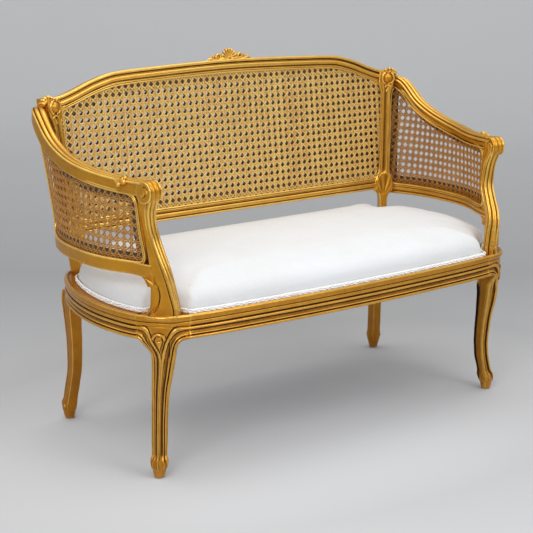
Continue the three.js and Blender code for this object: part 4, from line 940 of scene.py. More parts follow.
def rear_leg(lay, name):
    """The rear leg with its plain corner of the seat frame."""
    sizes = lay.sizes
    bottom, low = 3 * MM, lay.rail_bottom
    heights = np.concatenate([np.linspace(bottom, 50 * MM, 30), np.linspace(55 * MM, low + 6 * MM, 44)])
    x, y, half, round_ = leg_rows(
        REAR_LEG, heights, lay.rear_foot, sizes.leg_sweep, sizes.leg_waist, bottom, low
    )
    outline = section(
        [(-15, -15), (15, -15), (15, 15), (-15, 15)],
        [
            (10.5, 15, 1.3, -1.3), (15, 10.5, 1.3, -1.3), (-11, 15, 1.2, -1.1), (15, -11, 1.2, -1.1),
            (13.5, 13.5, 3, 1)
        ],
        count=112, soften=3,
    ) / (15 * MM)
    far = np.linalg.norm(outline, axis=1, keepdims=True)
    rings = []
    for k, height in enumerate(heights):
        shape = outline * (1 - round_[k]) + outline / far * round_[k]
        rings.append(np.column_stack([
            x[k] + shape[:, 0] * half[k], y[k] + shape[:, 1] * half[k], np.full(len(shape), height)
        ]))
    body = bar(name + "_body", rings, angle=60)
    block = rail_bar(lay, name + "_block", 8, 10, 62)
    row = int(np.argmin(np.abs(heights - ANKLE)))
    centre = np.array([x[row], y[row], heights[row]])
    knobs = [
        curl_ball(centre + half[row] * np.array(spot), facing, KNOB)
        for spot, facing in (((0.94, -0.4, 0), (1, 0, 0)), ((-0.4, 0.94, 0), (0, 1, 0)))
    ]
    return joined(name, [body, block, *knobs])


# Arms and side panels

ARM_HALF = 17 * MM
ARM_SECTION = dict(
    corners=[
        (-15, -17), (17, -17), (17, 8), (14, 13), (-11, 13), (-16, 8), (-16, 3), (-11, -1), (-11, -13),
        (-15, -14)
    ],
    beads=[
        (15.4, 11, 3.2, 2.2), (11.3, 13, 1.6, -2.4), (5.2, 13, 5, 3), (-0.6, 13, 1.5, -2.6),
        (-7, 13, 5.6, 3.4),
        (-13.6, 10.6, 1.3, -1.8), (-16, 5, 3, 1.8), (-12, -1, 1.4, -1.6),
    ], count=104, soften=1)


def sweep(points, across, up, outline):
    return points[:, None] + across[:, None] * outline[None, :, :1] + up[:, None] * outline[None, :, 1:]


def path_frames(line, share):
    at = spline(line, share, power=0)
    tangent = tangents(line, share, power=0)
    across = unit(np.column_stack([tangent[:, 1], -tangent[:, 0], np.zeros(len(tangent))]))
    up = np.cross(tangent, across)
    up = up * np.sign(up[:, 2:])
    return at, across, up


def arm(lay, name):
    sizes = lay.sizes
    outline = section(**ARM_SECTION)
    share = np.concatenate([np.linspace(0.018, 0.93, 66), 1 - 0.07 * (1 - np.linspace(0, 1, 14)[1:]) ** 1.6])
    at, across, up = path_frames(lay.arm_line, share)
    centre = at - (across + up) * ARM_HALF
    end = np.sqrt(np.clip(1 - np.clip((share - 0.89) / 0.113, 0, 1) ** 2.2, 0.04, 1))[:, None, None]
    rings = sweep(centre, across, up, outline)
    inner = centre[:, None] - across[:, None] * 12 * MM - up[:, None] * 12 * MM
    body = bar(name + "_body", inner + (rings - inner) * end)
    share = (9 * MM) / lay.side_run
    front, out, _ = (v[0] for v in path_frames(lay.arm_line, np.array([share])))
    middle = front - out * ARM_HALF
    middle[2] = front[2] - sizes.scroll_radius
    fore = unit(np.cross(UP, out))
    fore = fore * -np.sign(fore[1])
    angle = np.linspace(0, 2 * math.pi, 97)[:-1]
    rim = sizes.scroll_radius
    tops = [
        (-17.6, -2.4), (-17.2, -0.8), (-16.4, 0), (-14.8, -0.6), (-13.8, -2.6), (-12.6, -1.2),
        (-10, 0.6), (-7, 1), (-4, 0.6), (-1.8, -1.2), (-0.6, -3), (0.6, -1.2), (2.6, 0.2), (5.2, 0.7),
        (8, 0.2), (10.2, -1), (11.3, -2.8), (12.4, -1.4), (14.4, -0.3), (16.4, -0.4), (17, -0.6),
        (17.3, -1),
    ]
    rings = []
    faces = np.concatenate([[0.3], np.linspace(1.2, 22, 20)]) * MM

    def end_face(sign):
        for reach in (faces if sign < 0 else faces[::-1]):
            spiral = (6.4 + 8 * (1 - angle / (2 * math.pi)) % 8) * MM
            groove = hump(reach - spiral, 2.2 * MM)
            eye = hump(reach, 5 * MM)
            lift = (17.3 * MM - 4.2 * MM * groove + 1.6 * MM * np.sqrt(eye)) * sign
            rings.append(middle + circle(angle, fore, UP) * reach + out * lift[:, None])

    end_face(-1)
    for place, rise in tops:
        reach = rim + (rise - 0.8) * MM
        rings.append(middle + circle(angle, fore, UP) * reach + out * place * MM)
    end_face(1)
    scroll = bar(name + "_scroll", rings, angle=60)
    clasp = arm_clasp(lay, name)
    return joined(name, [body, scroll, clasp])


def arm_clasp(lay, name):
    """Small leaf clasp carved over the outer top edge of the arm."""
    at, across, up = (v[0] for v in path_frames(lay.arm_line, np.array([0.17])))
    along = np.cross(across, up)
    along = along * np.sign(along[1])
    root = at - up * 6 * MM + along * 18 * MM
    parts = []
    for lean, rise, long_ in ((0.5, -0.42, 30), (0.1, -0.1, 40), (-0.5, 0.12, 34)):
        ray = -along + across * lean * 0.5 + up * rise
        parts.append(petal(
            root + across * lean * 3 * MM, ray, unit(across + up), long_ * MM, 7.6 * MM, 6 * MM, 0.12
        ))
    parts.append(curl_ball(
        root - along * 22 * MM + across * 1.5 * MM + up * 3 * MM, unit(across + up), 6.8 * MM
    ))
    return joined(name + "_clasp", parts)


LOWER_RAIL_END = 0.935
LOWER_RAIL_DEPTH = 13 * MM
LOWER_RAIL_HALF = 14.5 * MM
LOWER_RAIL = [(-13, -14.5), (11, -14.5), (12.5, -12), (12.5, 12), (11, 14.5), (-13, 14.5)]


def lower_side_rail(lay, name):
    """Plain outside, moulded inside, with a bracket that turns down into the arm post."""
    beads = [
        (12.5, 5.4, 1.2, -2), (12.5, -0.5, 5.2, 2.4), (12.5, -6.6, 1.3, -2.4), (12.5, -10.8, 2.8, 1.4),
        (-13, -12.8, 1, -1)
    ]
    outline = section(LOWER_RAIL, beads, count=88) * [-1, 1]
    at, across, up = path_frames(lay.low_line, np.linspace(0.0, LOWER_RAIL_END, 60))
    centre = at - across * LOWER_RAIL_DEPTH
    rings = sweep(centre, across, up, outline)
    flare = 5.5 * MM * smooth_step(-at[:, 1], -lay.side_front - 60 * MM, -lay.side_front - 12 * MM)
    rings += across[:, None] * (flare[:, None] * (outline[None, :, 0] > 10 * MM))[..., None]
    rail = bar(name + "_rail", rings)
    return joined(name, [rail, bracket(lay, name)])


def bracket(lay, name):
    """Rounds the corner between the lower rail and the post, with a bead along its edge."""
    radius = 21 * MM
    share = (post_rear(lay, lay.side_middle - LOWER_RAIL_HALF)[0] - lay.side_front) / lay.side_run
    at, across, up = (v[0] for v in path_frames(lay.low_line, np.array([share])))
    along = unit(np.cross(up, across))
    along = along * np.sign(along[1])
    corner = at - across * LOWER_RAIL_DEPTH - up * LOWER_RAIL_HALF
    back = post_rows(lay, lay.side_middle - 30 * MM)[2][0]
    slant = (across @ back) / (along @ back)
    step = np.linspace(0, 1, 25)
    turn = step * math.pi / 2
    edge = np.column_stack([radius * (1 - np.sin(turn)), radius * (np.cos(turn) - 1)])
    inner = np.column_stack([
        np.interp(step, [0, 0.5, 1], v) for v in ([radius, -26 * MM, -26 * MM], [6 * MM, 6 * MM, -radius])
    ])
    half = [
        (0, 10), (0.8, 12.4), (3, 13.2), (5.2, 12.8), (5.9, 10.4), (6.8, 12.8), (12, 13.4), (20, 13.4),
        (60, 13.4)
    ]
    rings = []
    for k in range(len(step)):
        room = np.linalg.norm(inner[k] - edge[k])
        ring = []
        for reach, side in half + [(reach, -side) for reach, side in half[::-1]]:
            spot = edge[k] + (inner[k] - edge[k]) * min(reach * MM / room, 1)
            flare = 7.5 * MM * np.clip((radius - spot[0]) / (2 * radius), 0, 1) * (side > 0)
            side = side * MM + flare
            ring.append(
                corner + along * (spot[0] - step[k] ** 1.5 * slant * side) + up * spot[1] + across * side
            )
        rings.append(ring)
    return bar(name + "_bracket", rings, angle=40)


POST_HALF = 23 * MM
POST_FLAT = 11.5 * MM
POST_SECTION = dict(
    corners=[
        (-19, -19), (-15, -23), (13, -23), (18, -21), (19, -17), (19, 19), (16, 23), (-16, 23), (-19, 19)
    ],
    beads=[
        (19, -13.5, 1.5, -2.6), (17.5, -20, 4, 1.6), (12, -23, 1.5, -2.6), (4.5, -23, 5.4, 2.4),
        (-3, -23, 1.5, -2.6), (-9, -23, 4.4, 2),
        (-15, -22.5, 1.3, -2), (-19, -13, 1.4, -2.2), (-19, 14, 1.3, -1.6),
    ], count=200, soften=1)


def post_rows(lay, z):
    """Centre, two axes, half thickness and half breadth of the right arm post at heights."""
    z = np.atleast_1d(np.asarray(z, float))
    height = lay.arm_front - lay.ledge - 0.3 * MM - 38.4 * MM
    read = rows(POST, (z - lay.ledge - 0.3 * MM) / height)
    centre = np.column_stack([
        lay.post_place[0] + read[:, 3] * 22.5 * MM, lay.post_place[1] + read[:, 0] * 46 * MM, z
    ])
    turn = read[:, 4] * math.radians(POST_TURN)
    across = np.column_stack([np.cos(turn), -np.sin(turn), 0 * turn])
    back = np.column_stack([np.sin(turn), np.cos(turn), 0 * turn])
    return centre, across, back, read[:, 2] * 19 * MM, read[:, 1] * 23 * MM


def post_rear(lay, z):
    """Where the middle of the side panel meets the rear face of the post."""
    z = np.atleast_1d(np.asarray(z, float))
    centre, _, back, _, broad = post_rows(lay, z)
    panel = lay.side_at(centre[:, 1], z)[0][:, 0] - ARM_HALF - centre[:, 0]
    return centre[:, 1] + broad / back[:, 1] - panel * back[:, 0] / back[:, 1]


def post(lay, name):
    """Arm post: a broad flat outside with one incised line, and beads down its front."""
    outline = section(**POST_SECTION)
    heights = np.linspace(lay.ledge + 0.3 * MM, lay.arm_front - 26 * MM, 120)
    centre, across, back, thick, broad = post_rows(lay, heights)
    wide, _ = crescent(lay, heights)
    rings = []
    for k in range(len(heights)):
        # beads keep their size while the section swells
        a = outline[:, 0] * thick[k] / (19 * MM)
        edge = np.abs(outline[:, 1]) > POST_FLAT
        side = np.sign(outline[:, 1])
        b = np.where(
            edge, side * broad[k] + (outline[:, 1] - side * POST_HALF),
            outline[:, 1] * (broad[k] - POST_FLAT) / POST_FLAT,
        )
        groove = hump(broad[k] - b - wide[k] - 1.4 * MM, 1.7 * MM) * (a > 0.8 * thick[k]) * (wide[k] > 0)
        foot = 1 + 0.22 * (1 - smooth_step(heights[k], lay.ledge - 6 * MM, lay.ledge + 22 * MM)) * (a > 0)
        rings.append(centre[k] + (a * foot - 3.4 * MM * groove)[:, None] * across[k] + b[:, None] * back[k])
    body = bar(name + "_body", rings)
    return joined(name, [body, half_moon(lay), *post_leaf(lay)])


def crescent(lay, z):
    """Width of the half-moon on the rear edge of the post, and how far it leans back, at heights."""
    foot, head = lay.ledge + 4 * MM, lay.side_middle - 15 * MM
    share = np.clip((z - foot) / (head - foot), 0, 1)
    wide = 19 * MM * np.sin(math.pi * share) ** 0.6
    lean = 8 * MM * (1 - smooth_step(share, 0, 0.26))
    turned = np.clip((z - head + 21 * MM) / (21 * MM), 0, 1)
    return wide, lean + 21 * MM * (1 - np.sqrt(1 - turned ** 2)) * 0.8


def half_moon(lay):
    """Half-moon moulding that turns the rail's underside into the post."""
    heights = np.linspace(lay.ledge + 4.5 * MM, lay.side_middle - 15.5 * MM, 48)
    centre, across, back, thick, broad = post_rows(lay, heights)
    wide, lean = crescent(lay, heights)
    rings = []
    for k in range(len(heights)):
        edge = broad[k] + lean[k] + 0.6 * MM
        lift = 3.2 * MM * min(wide[k] / (12 * MM), 1)
        ring = [
            (edge, -0.5), (edge + 0.5 * MM, 0.5), (edge, 0.98), (edge - 0.1 * wide[k], 1),
            (edge - 0.3 * wide[k], 1), (edge - 0.55 * wide[k], 1), (edge - 0.8 * wide[k], 1),
            (edge - wide[k], 1), (edge - wide[k] - 0.3 * MM, 0.8), (edge - wide[k], -0.5)
        ]
        dome = [0, 0, 0, 0.55, 0.9, 1, 0.75, 0.2, 0, 0]
        rings.append([
            centre[k] + back[k] * b + across[k] * (a * thick[k] + d * lift) for (b, a), d in zip(ring, dome)
        ])
    return bar("half_moon", rings, angle=55)


def post_leaf(lay):
    """Carved leaf stem with pearls low on the front of the post."""
    parts = []
    heights = np.linspace(lay.ledge + 14 * MM, lay.ledge + 92 * MM, 8)
    centre, across, back, thick, broad = post_rows(lay, heights)
    spine = centre - back * broad[:, None] + across * (thick * 0.42)[:, None]
    facing = -back[3]
    parts.append(tube(
        "stem", spline(spine - facing * 0.5 * MM, np.linspace(0, 1, 30)),
        np.interp(np.linspace(0, 1, 30), [0, 0.3, 1], [5.5, 5, 1.5]) * MM, 3 * MM, facing
    ))
    for k in range(1, 6):
        parts.append(curl_ball(spine[k] - back[k] * 0.4 * MM, -back[k], (4 - 0.3 * k) * MM))
    return parts


# Back

def stile_outline(half, out, count=96):
    thick = 34 * MM
    corners = [
        (-half, 0.06 * thick), (-0.8 * half, 0), (0.8 * half, 0), (half, 0.05 * thick),
        (half + out, 0.9 * thick),
        (half + 0.75 * out, 1.15 * thick), (-0.2 * half, 1.12 * thick), (-half + 4 * MM, 0.95 * thick),
    ]
    line = softened(evenly(corners, count), 1)
    return line


def stile(lay, name):
    """Corner stile: a dished face between two panels, fluted in a fan below and plainly dished above."""
    foot = lay.ledge + 0.3 * MM
    heights = np.concatenate([
        np.linspace(foot, lay.back_low + 40 * MM, 70), np.linspace(lay.back_low + 43 * MM, lay.stile_top, 90)
    ])
    read = lay.stile_rows(heights)
    centre = lay.stile_at(heights)
    rings = []
    fan_foot, fan_top = lay.crown + 4 * MM, lay.back_low + 34 * MM
    for k, z in enumerate(heights):
        half = 13 * MM * read[k, 0]
        level = float(np.clip(z, lay.side_middle, lay.arm_front + lay.arm_rise))
        outer = lay.side_at(centre[k, 1], level)[0][0]
        edge = centre[k, 0] + half * lay.face[0] + 0.9 * 34 * MM * lay.facing_out[0]
        limit = (
            lay.side_at(centre[k, 1] + 28 * MM, level, inset=PANEL_INSET + 5 * MM)[0][0] - centre[k]
        ) @ lay.face - half
        out = min(read[k, 1] * (outer - edge) / lay.face[0], max(limit, 2 * MM))
        line = stile_outline(half, out)
        across = line[:, 0]
        on_face = smooth_step(-line[:, 1], -4 * MM, -1 * MM) * (np.abs(across) < half)
        plain = z > lay.back_low + 36 * MM
        dish = np.zeros(len(line))
        if plain:
            place = np.abs(across) / half * 13 * MM
            dish = 4.6 * MM * hump(across, 6.6 * MM) + 1.6 * MM * hump(place - 9.4 * MM, 1.5 * MM)
        else:
            ray = np.arctan2(across, max(z - fan_foot, 1e-4) + 6 * MM)
            open_ = (
                smooth_step(z, fan_foot, fan_foot + 8 * MM)
                * smooth_step(-z, -fan_top, -fan_top + 10 * MM)
            )
            dish = 2.8 * MM * (0.5 - 0.5 * np.cos(ray * 17)) * open_ * (np.abs(across) < half * 0.76)
            dish = dish + 2 * MM * hump(half - np.abs(across) - 5 * MM, 1.6 * MM) * open_
        line[:, 1] += dish * on_face
        rings.append(centre[k] + line[:, :1] * lay.face + line[:, 1:] * lay.facing_out)
    return bar(name, rings)


CREST_SECTION = dict(
    corners=[
        (-16, -17), (7, -17), (10, -16), (10, -7), (13, -5), (13, 3), (9.6, 5.5), (9.4, 9.5), (12, 12),
        (11, 16), (-12, 16), (-16, 12)
    ],
    beads=[
        (13, -1.2, 5, 3), (10, -8, 1.3, -2.4), (12.5, 4.6, 1.3, -1.6), (12, 13.4, 4.2, 2.6),
        (5, 16, 4, 1), (-1, 16, 1.2, -1.2),
        (-16, 0, 6, 1.4), (-16, -8, 1.2, -1.5),
    ], count=104, soften=1)


def crest(lay, name):
    outline = section(**CREST_SECTION)
    share = np.linspace(0, 1, 150)
    at, tangent = spline(lay.crest, share), tangents(lay.crest, share)
    limit = lay.stile_place[0] + 0.102 * (lay.stile_top - lay.ledge) + 4 * MM
    keep = np.abs(at[:, 0]) < limit
    at, tangent = at[keep], tangent[keep]
    up = np.cross(lay.back_front, tangent)
    up = unit(up * np.sign(up[:, 2:]))
    across = np.tile(lay.back_front, (len(at), 1))
    return bar(name, sweep(at, across, up, outline))


def lower_back_rail(lay, name):
    corners = [(-13, -16), (10, -16), (13, -13), (13, 3), (10, 5), (10, 16), (-13, 16)]
    beads = [
        (13, -2.4, 5.6, 2.8), (11, 4.6, 1.4, -2.4), (13, -8.6, 1.4, -2.4), (12.4, -12.6, 2.8, 1.4),
        (-13, 0, 6, 1.2), (-13, -9, 1.2, -1.4)
    ]
    outline = section(corners, beads, count=96, soften=1)
    limit = lay.stile_place[0] - 6 * MM
    x = np.linspace(-limit, limit, 40)
    at = np.column_stack([x, np.full(len(x), lay.back_y(lay.back_low)), np.full(len(x), lay.back_low)])
    across, up = (np.tile(v, (len(x), 1)) for v in (lay.back_front, lay.back_up))
    return bar(name, sweep(at, across, up, outline))


def rounded_corners(line, radius, count):
    """A closed outline with its corners rounded, at even distances."""
    line = evenly(line, 800)
    length = np.sum(np.linalg.norm(np.diff(np.vstack([line, line[:1]]), axis=0), axis=1))
    passes = int(0.9 * (radius / (length / 800)) ** 2)
    return evenly(softened(line, passes), count)


def back_opening(lay, count=260):
    """Outline of the back's cane opening in x and z."""
    low = lay.back_low + 16 * MM
    zs = np.linspace(low, lay.stile_top - 40 * MM, 40)
    half = lay.stile_at(zs)[:, 0] - 7 * MM
    xs = np.linspace(half[-1], -half[-1], 121)[1:-1]
    top = np.interp(xs, *lay.crest_rows) - 17 * MM
    right = np.column_stack([half, zs])
    left = right[::-1] * [-1, 1]
    return rounded_corners(np.vstack([right, np.column_stack([xs, top]), left]), 26 * MM, count)


def side_opening(lay, count=170):
    """Outline of a side cane opening in y and z."""
    low = lay.side_middle + LOWER_RAIL_HALF
    zs = np.linspace(low, lay.arm_front + lay.arm_rise - 46 * MM, 40)
    rear_y = np.minimum(lay.stile_at(zs)[:, 1] + 28 * MM, lay.side_front + lay.side_run - 14 * MM)
    rear = np.column_stack([rear_y, zs])
    front_y = post_rear(lay, zs)
    keep = zs < lay.arm_front - 44 * MM
    front = np.column_stack([front_y, zs])[keep]
    ys = np.linspace(front[-1, 0] + 3 * MM, rear[-1, 0], 60)[1:-1]
    top = np.column_stack([ys, lay.arm_top(ys) - 34 * MM])
    return rounded_corners(np.vstack([front, top, rear[::-1]]), 20 * MM, count)


RING_SECTION = dict(
    corners=[(-1.4, -4), (9.4, -4), (9.4, 0), (-1.4, 0)],
    beads=[(1.2, 0, 2.1, 1.5), (3.6, 0, 0.9, -1), (5.6, 0, 1.8, 1.4), (8, 0, 1, -1.6)], count=44, soften=0)


def panel_frame(name, outline, surface, height, base=3 * MM):
    """Twin beads round a cane opening. surface turns outline places into points and normals."""
    at, normal = surface(outline[:, 0], outline[:, 1])
    ahead, behind = np.roll(at, -1, 0), np.roll(at, 1, 0)
    tangent = unit(ahead - behind)
    away = np.cross(tangent, normal)
    middle = at.mean(axis=0)
    away = unit(away * np.sign(np.sum(away * (at - middle), axis=1).mean()))
    shape = section(**RING_SECTION)
    height = np.broadcast_to(height, len(at))
    rise = np.where(shape[None, :, 1] < -2 * MM, base, height[:, None] + shape[None, :, 1])
    rings = at[:, None] + away[:, None] * shape[None, :, :1] + normal[:, None] * rise[..., None]
    return hoop(name, rings, angle=60)


def rebate(name, outline, surface, wide, lift):
    """Thin dark band that stands for the rebate the edge of a cane sheet is tacked to; its near-black colour
    is painted shade seen through the border holes.
    """
    middle = outline.mean(axis=0)
    ahead, behind = np.roll(outline, -1, 0), np.roll(outline, 1, 0)
    tangent = unit(ahead - behind)
    inward = np.column_stack([-tangent[:, 1], tangent[:, 0]])
    inward = inward * np.sign(np.sum(inward * (middle - outline), axis=1).mean())
    rings = []
    for reach, rise in (
        (-4 * MM, 0.15), (wide * 0.5, 0.2), (wide, 0.15), (wide, -0.15), (wide * 0.5, -0.2), (-4 * MM, -0.15)
    ):
        spot = outline + inward * reach
        at, normal = surface(spot[:, 0], spot[:, 1])
        rings.append(at + normal * (lift + rise * MM))
    return hoop(name, np.stack(rings, axis=1), angle=80)


# Carved ornaments

def tube(name, points, wide, thick=None, facing=None, around=20, angle=70):
    """A carved stem along a line of points. wide and thick are half sizes along it."""
    points = np.asarray(points, float)
    wide = np.broadcast_to(wide, len(points))
    thick = wide if thick is None else np.broadcast_to(thick, len(points))
    along = np.empty_like(points)
    along[1:-1] = points[2:] - points[:-2]
    along[0], along[-1] = points[1] - points[0], points[-1] - points[-2]
    along = unit(along)
    facing = np.asarray(facing if facing is not None else (0.13, -1, 0.07), float)
    side = unit(np.cross(along, facing))
    front = unit(np.cross(side, along))
    turn = np.linspace(0, 2 * math.pi, around + 1)[:-1]
    rings = (points[:, None] + side[:, None] * (np.cos(turn)[:, None] * wide[:, None, None])
             + front[:, None] * (np.sin(turn)[:, None] * thick[:, None, None]))
    return bar(name, rings, angle=angle)


def petal(root, ray, front, length, wide, thick, curl=0.25, name="petal"):
    """One lobe of a shell or leaf, swelling towards its tip and curling forwards."""
    share = np.linspace(0, 1, 15)
    ray, front = unit(np.asarray(ray, float)), unit(np.asarray(front, float))
    line = (
        root + ray * (length * share)[:, None]
        + front * (length * curl * (share ** 2.4 + 0.25 * np.sin(share * math.pi)))[:, None]
    )
    swell = (0.25 + 0.75 * share ** 0.8) * np.sqrt(np.clip(
        1 - (np.clip(share - 0.8, 0, 1) / 0.205) ** 2, 0.01, 1
    ))
    return tube(name, line, wide * swell, thick * (0.5 + 0.5 * swell), front, around=14)


def spiral(centre, across, up, start_reach, end_reach, start_turn, turns, front=None, lift=0.0, count=40):
    share = np.linspace(0, 1, count)
    angle = start_turn + turns * 2 * math.pi * share
    reach = start_reach * (end_reach / start_reach) ** share
    line = centre + np.outer(np.cos(angle) * reach, across) + np.outer(np.sin(angle) * reach, up)
    return line if front is None else line + np.outer(lift * share, front)


def crest_shell(lay, name):
    """Scallop shell between two leafy scrolls on the middle of the crest."""
    top = np.interp(0, *lay.crest_rows) + 16.5 * MM
    root = np.array([0, lay.back_y(top), top]) + lay.back_front * 4 * MM
    across, up, front = np.array([1.0, 0, 0]), lay.back_up, lay.back_front
    parts = []
    for k in range(9):
        angle = math.radians(-84 + 21 * k)
        ray = across * math.sin(angle) + up * math.cos(angle)
        length = (24 + 4 * math.cos(angle)) * MM
        parts.append(petal(root + up * 2.2 * MM, ray, front, length, 4 * MM, 5.4 * MM, 0.12))
    parts.append(curl_ball(root + up * 3 * MM + front * 4 * MM, front, 5 * MM))
    for side in (-1, 1):
        out = across * side
        eye = root + out * 33 * MM + up * 8.2 * MM
        line = spiral(eye, out, up, 11.5 * MM, 3 * MM, -2.4, 1.45, front, 4 * MM)
        parts.append(tube(
            "scroll", line, np.linspace(3.6, 2.2, 40) * MM, np.linspace(5.4, 4, 40) * MM, front
        ))
        parts.append(curl_ball(eye + front * 2.5 * MM, front, 3.6 * MM))
        stem = np.array([root + out * a * MM + up * b * MM + front * c * MM for a, b, c in (
            (5, 1, 3), (14, 1.5, 4), (22, 2.5, 4), (30, 0.5, 3), (40, -1, 3), (50, 1.5, 3),
            (59, 3.8, 3), (66, 1.5, 2), (70, -2.5, 1))])
        share = np.linspace(0, 1, 30)
        thickness = (3.6 * (1 - share) ** 0.5 + 1.2) * MM
        parts.append(tube("tail", spline(stem, share), thickness, thickness * 1.1, front))
        for at, rise, long_, lean in (
            (45, 0, 14, 0.5), (53, 1, 11, 0.8), (24, 2, 11, -0.3), (38, -2, 10, 0.2)
        ):
            ray = out * lean + up
            parts.append(petal(
                root + out * at * MM + up * rise * MM, ray, front, long_ * MM, 3 * MM, 4 * MM, 0.3
            ))
    return joined(name, parts)


def stile_flower(lay, name):
    """Round boss in a broken scroll, with a husk below, at the top of a corner stile."""
    z = lay.stile_top - 19.5 * MM
    across, front, up = lay.face, -lay.facing_out, UP
    centre = lay.stile_at(z) + across * 3.6 * MM
    parts = []
    angle = np.linspace(0, 2 * math.pi, 29)[:-1]
    rings = []
    for tilt in np.linspace(0.04, 0.56, 12) * math.pi:
        reach = 13 * MM * math.sin(tilt)
        rings.append(centre + reach * circle(angle, across, up) + front * (9 * MM * math.cos(tilt)))
    parts.append(bar("boss", rings, angle=80))
    for side in (-1, 1):
        arc = [
            centre + across * side * 17 * MM * math.cos(t) + up * 17.5 * MM * math.sin(t) + front * 1.5 * MM
            for t in np.linspace(-1.15, 1.2, 26)
        ]
        wide = (1.4 + 2.3 * np.sin(np.linspace(0.25, 2.9, 26))) * MM
        parts.append(tube("scroll", arc, wide, wide * 1.2, front))
        parts.append(curl_ball(arc[0] + front * 1.5 * MM, front, 4 * MM))
        parts.append(curl_ball(arc[-1] + front * 1.5 * MM, front, 3.6 * MM))
    husk = centre - up * 26 * MM
    arch = [
        husk + across * 8 * MM * math.cos(t) + up * 6 * MM * math.sin(t) + front * 2 * MM
        for t in np.linspace(0, math.pi, 16)
    ]
    parts.append(tube("arch", arch, 2.1 * MM, 2.4 * MM, front))
    for lean, long_ in ((-0.34, 15), (0, 20), (0.34, 15)):
        parts.append(petal(
            husk + front * 0.5 * MM, across * lean - up, front, long_ * MM, 2.5 * MM, 2.4 * MM, 0.04
        ))
    fan = lay.stile_at(lay.back_low + 20 * MM)
    arch = [
        fan + across * 15 * MM * math.cos(t) + up * 13 * MM * math.sin(t) + front * 0.6 * MM
        for t in np.linspace(0.1, math.pi - 0.1, 22)
    ]
    parts.append(tube("arch", arch, 1.9 * MM, 2.2 * MM, front))
    return joined(name, parts)


def stile_leaf(lay, name):
    """Small curled husk that caps a corner stile where the arm begins."""
    across, front = lay.face, -lay.facing_out
    base = lay.stile_at(lay.stile_top) + lay.facing_out * 12 * MM + across * 12 * MM - UP * 8 * MM
    parts = []
    for place, lean, tall in ((-8, -0.3, 14), (-1, 0, 17), (6, 0.3, 15), (11, 0.7, 12)):
        for way in (1, -1):
            parts.append(petal(
                base + across * place * MM, across * lean + UP, front * way, tall * MM, 4.4 * MM,
                6.6 * MM, 0.12
            ))
    line = [base + across * a * MM + UP * b * MM for a, b in ((-15, 1), (-7, 4), (3, 4.5), (12, 2), (20, -3))]
    parts.append(tube(
        "stem", spline(line, np.linspace(0, 1, 24)), np.linspace(5, 6, 24) * MM, 10 * MM, front
    ))
    return joined(name, parts)


# Cane

def inside(points, outline):
    x, y = points[..., 0], points[..., 1]
    hit = np.zeros(x.shape, bool)
    for (x0, y0), (x1, y1) in zip(outline, np.roll(outline, -1, 0)):
        if y0 != y1:
            hit ^= ((y0 > y) != (y1 > y)) & (x < (x1 - x0) * (y - y0) / (y1 - y0) + x0)
    return hit


def strands(name, centre, sideways, lift, outline, surface, width, seed):
    """Ribbons of cane: a grid whose columns pair up as strands, with the columns between them taken out."""
    count, long_ = centre.shape[:2]
    deselect()
    bpy.ops.mesh.primitive_grid_add(
        x_subdivisions=2 * count - 1, y_subdivisions=long_ - 1, size=2, location=(0, 0, 0)
    )
    obj = bpy.context.active_object
    obj.name = obj.data.name = name
    co = coordinates(obj)
    column = np.rint((co[:, 0] + 1) / 2 * (2 * count - 1)).astype(int)
    row = np.rint((co[:, 1] + 1) / 2 * (long_ - 1)).astype(int)
    which, edge = column // 2, column % 2 * 2 - 1
    spot = centre[which, row] + sideways * (edge * width / 2)[:, None]
    at, normal = surface(spot[:, 0], spot[:, 1])
    place_points(obj, at + normal * lift[which, row][:, None])
    keep = inside(centre[which, row], outline)
    mesh = obj.data
    corner = np.empty(len(mesh.loops), int)
    mesh.loops.foreach_get("vertex_index", corner)
    corner = corner.reshape(-1, 4)
    drop = (which[corner].max(axis=1) != which[corner].min(axis=1)) | ~keep[corner].any(axis=1)
    tone = np.random.default_rng(seed).random(count)
    mesh.attributes.new("strand", "FLOAT", "POINT").data.foreach_set("value", tone[which])
    bpy.context.tool_settings.mesh_select_mode = (False, False, True)
    mesh.polygons.foreach_set("select", drop)
    mesh.edges.foreach_set("select", np.zeros(len(mesh.edges), bool))
    mesh.vertices.foreach_set("select", np.zeros(len(mesh.vertices), bool))
    bpy.ops.object.mode_set(mode="EDIT")
    bpy.ops.mesh.delete(type="FACE")
    bpy.ops.object.mode_set(mode="OBJECT")
    bpy.context.tool_settings.mesh_select_mode = (True, False, False)
    return obj


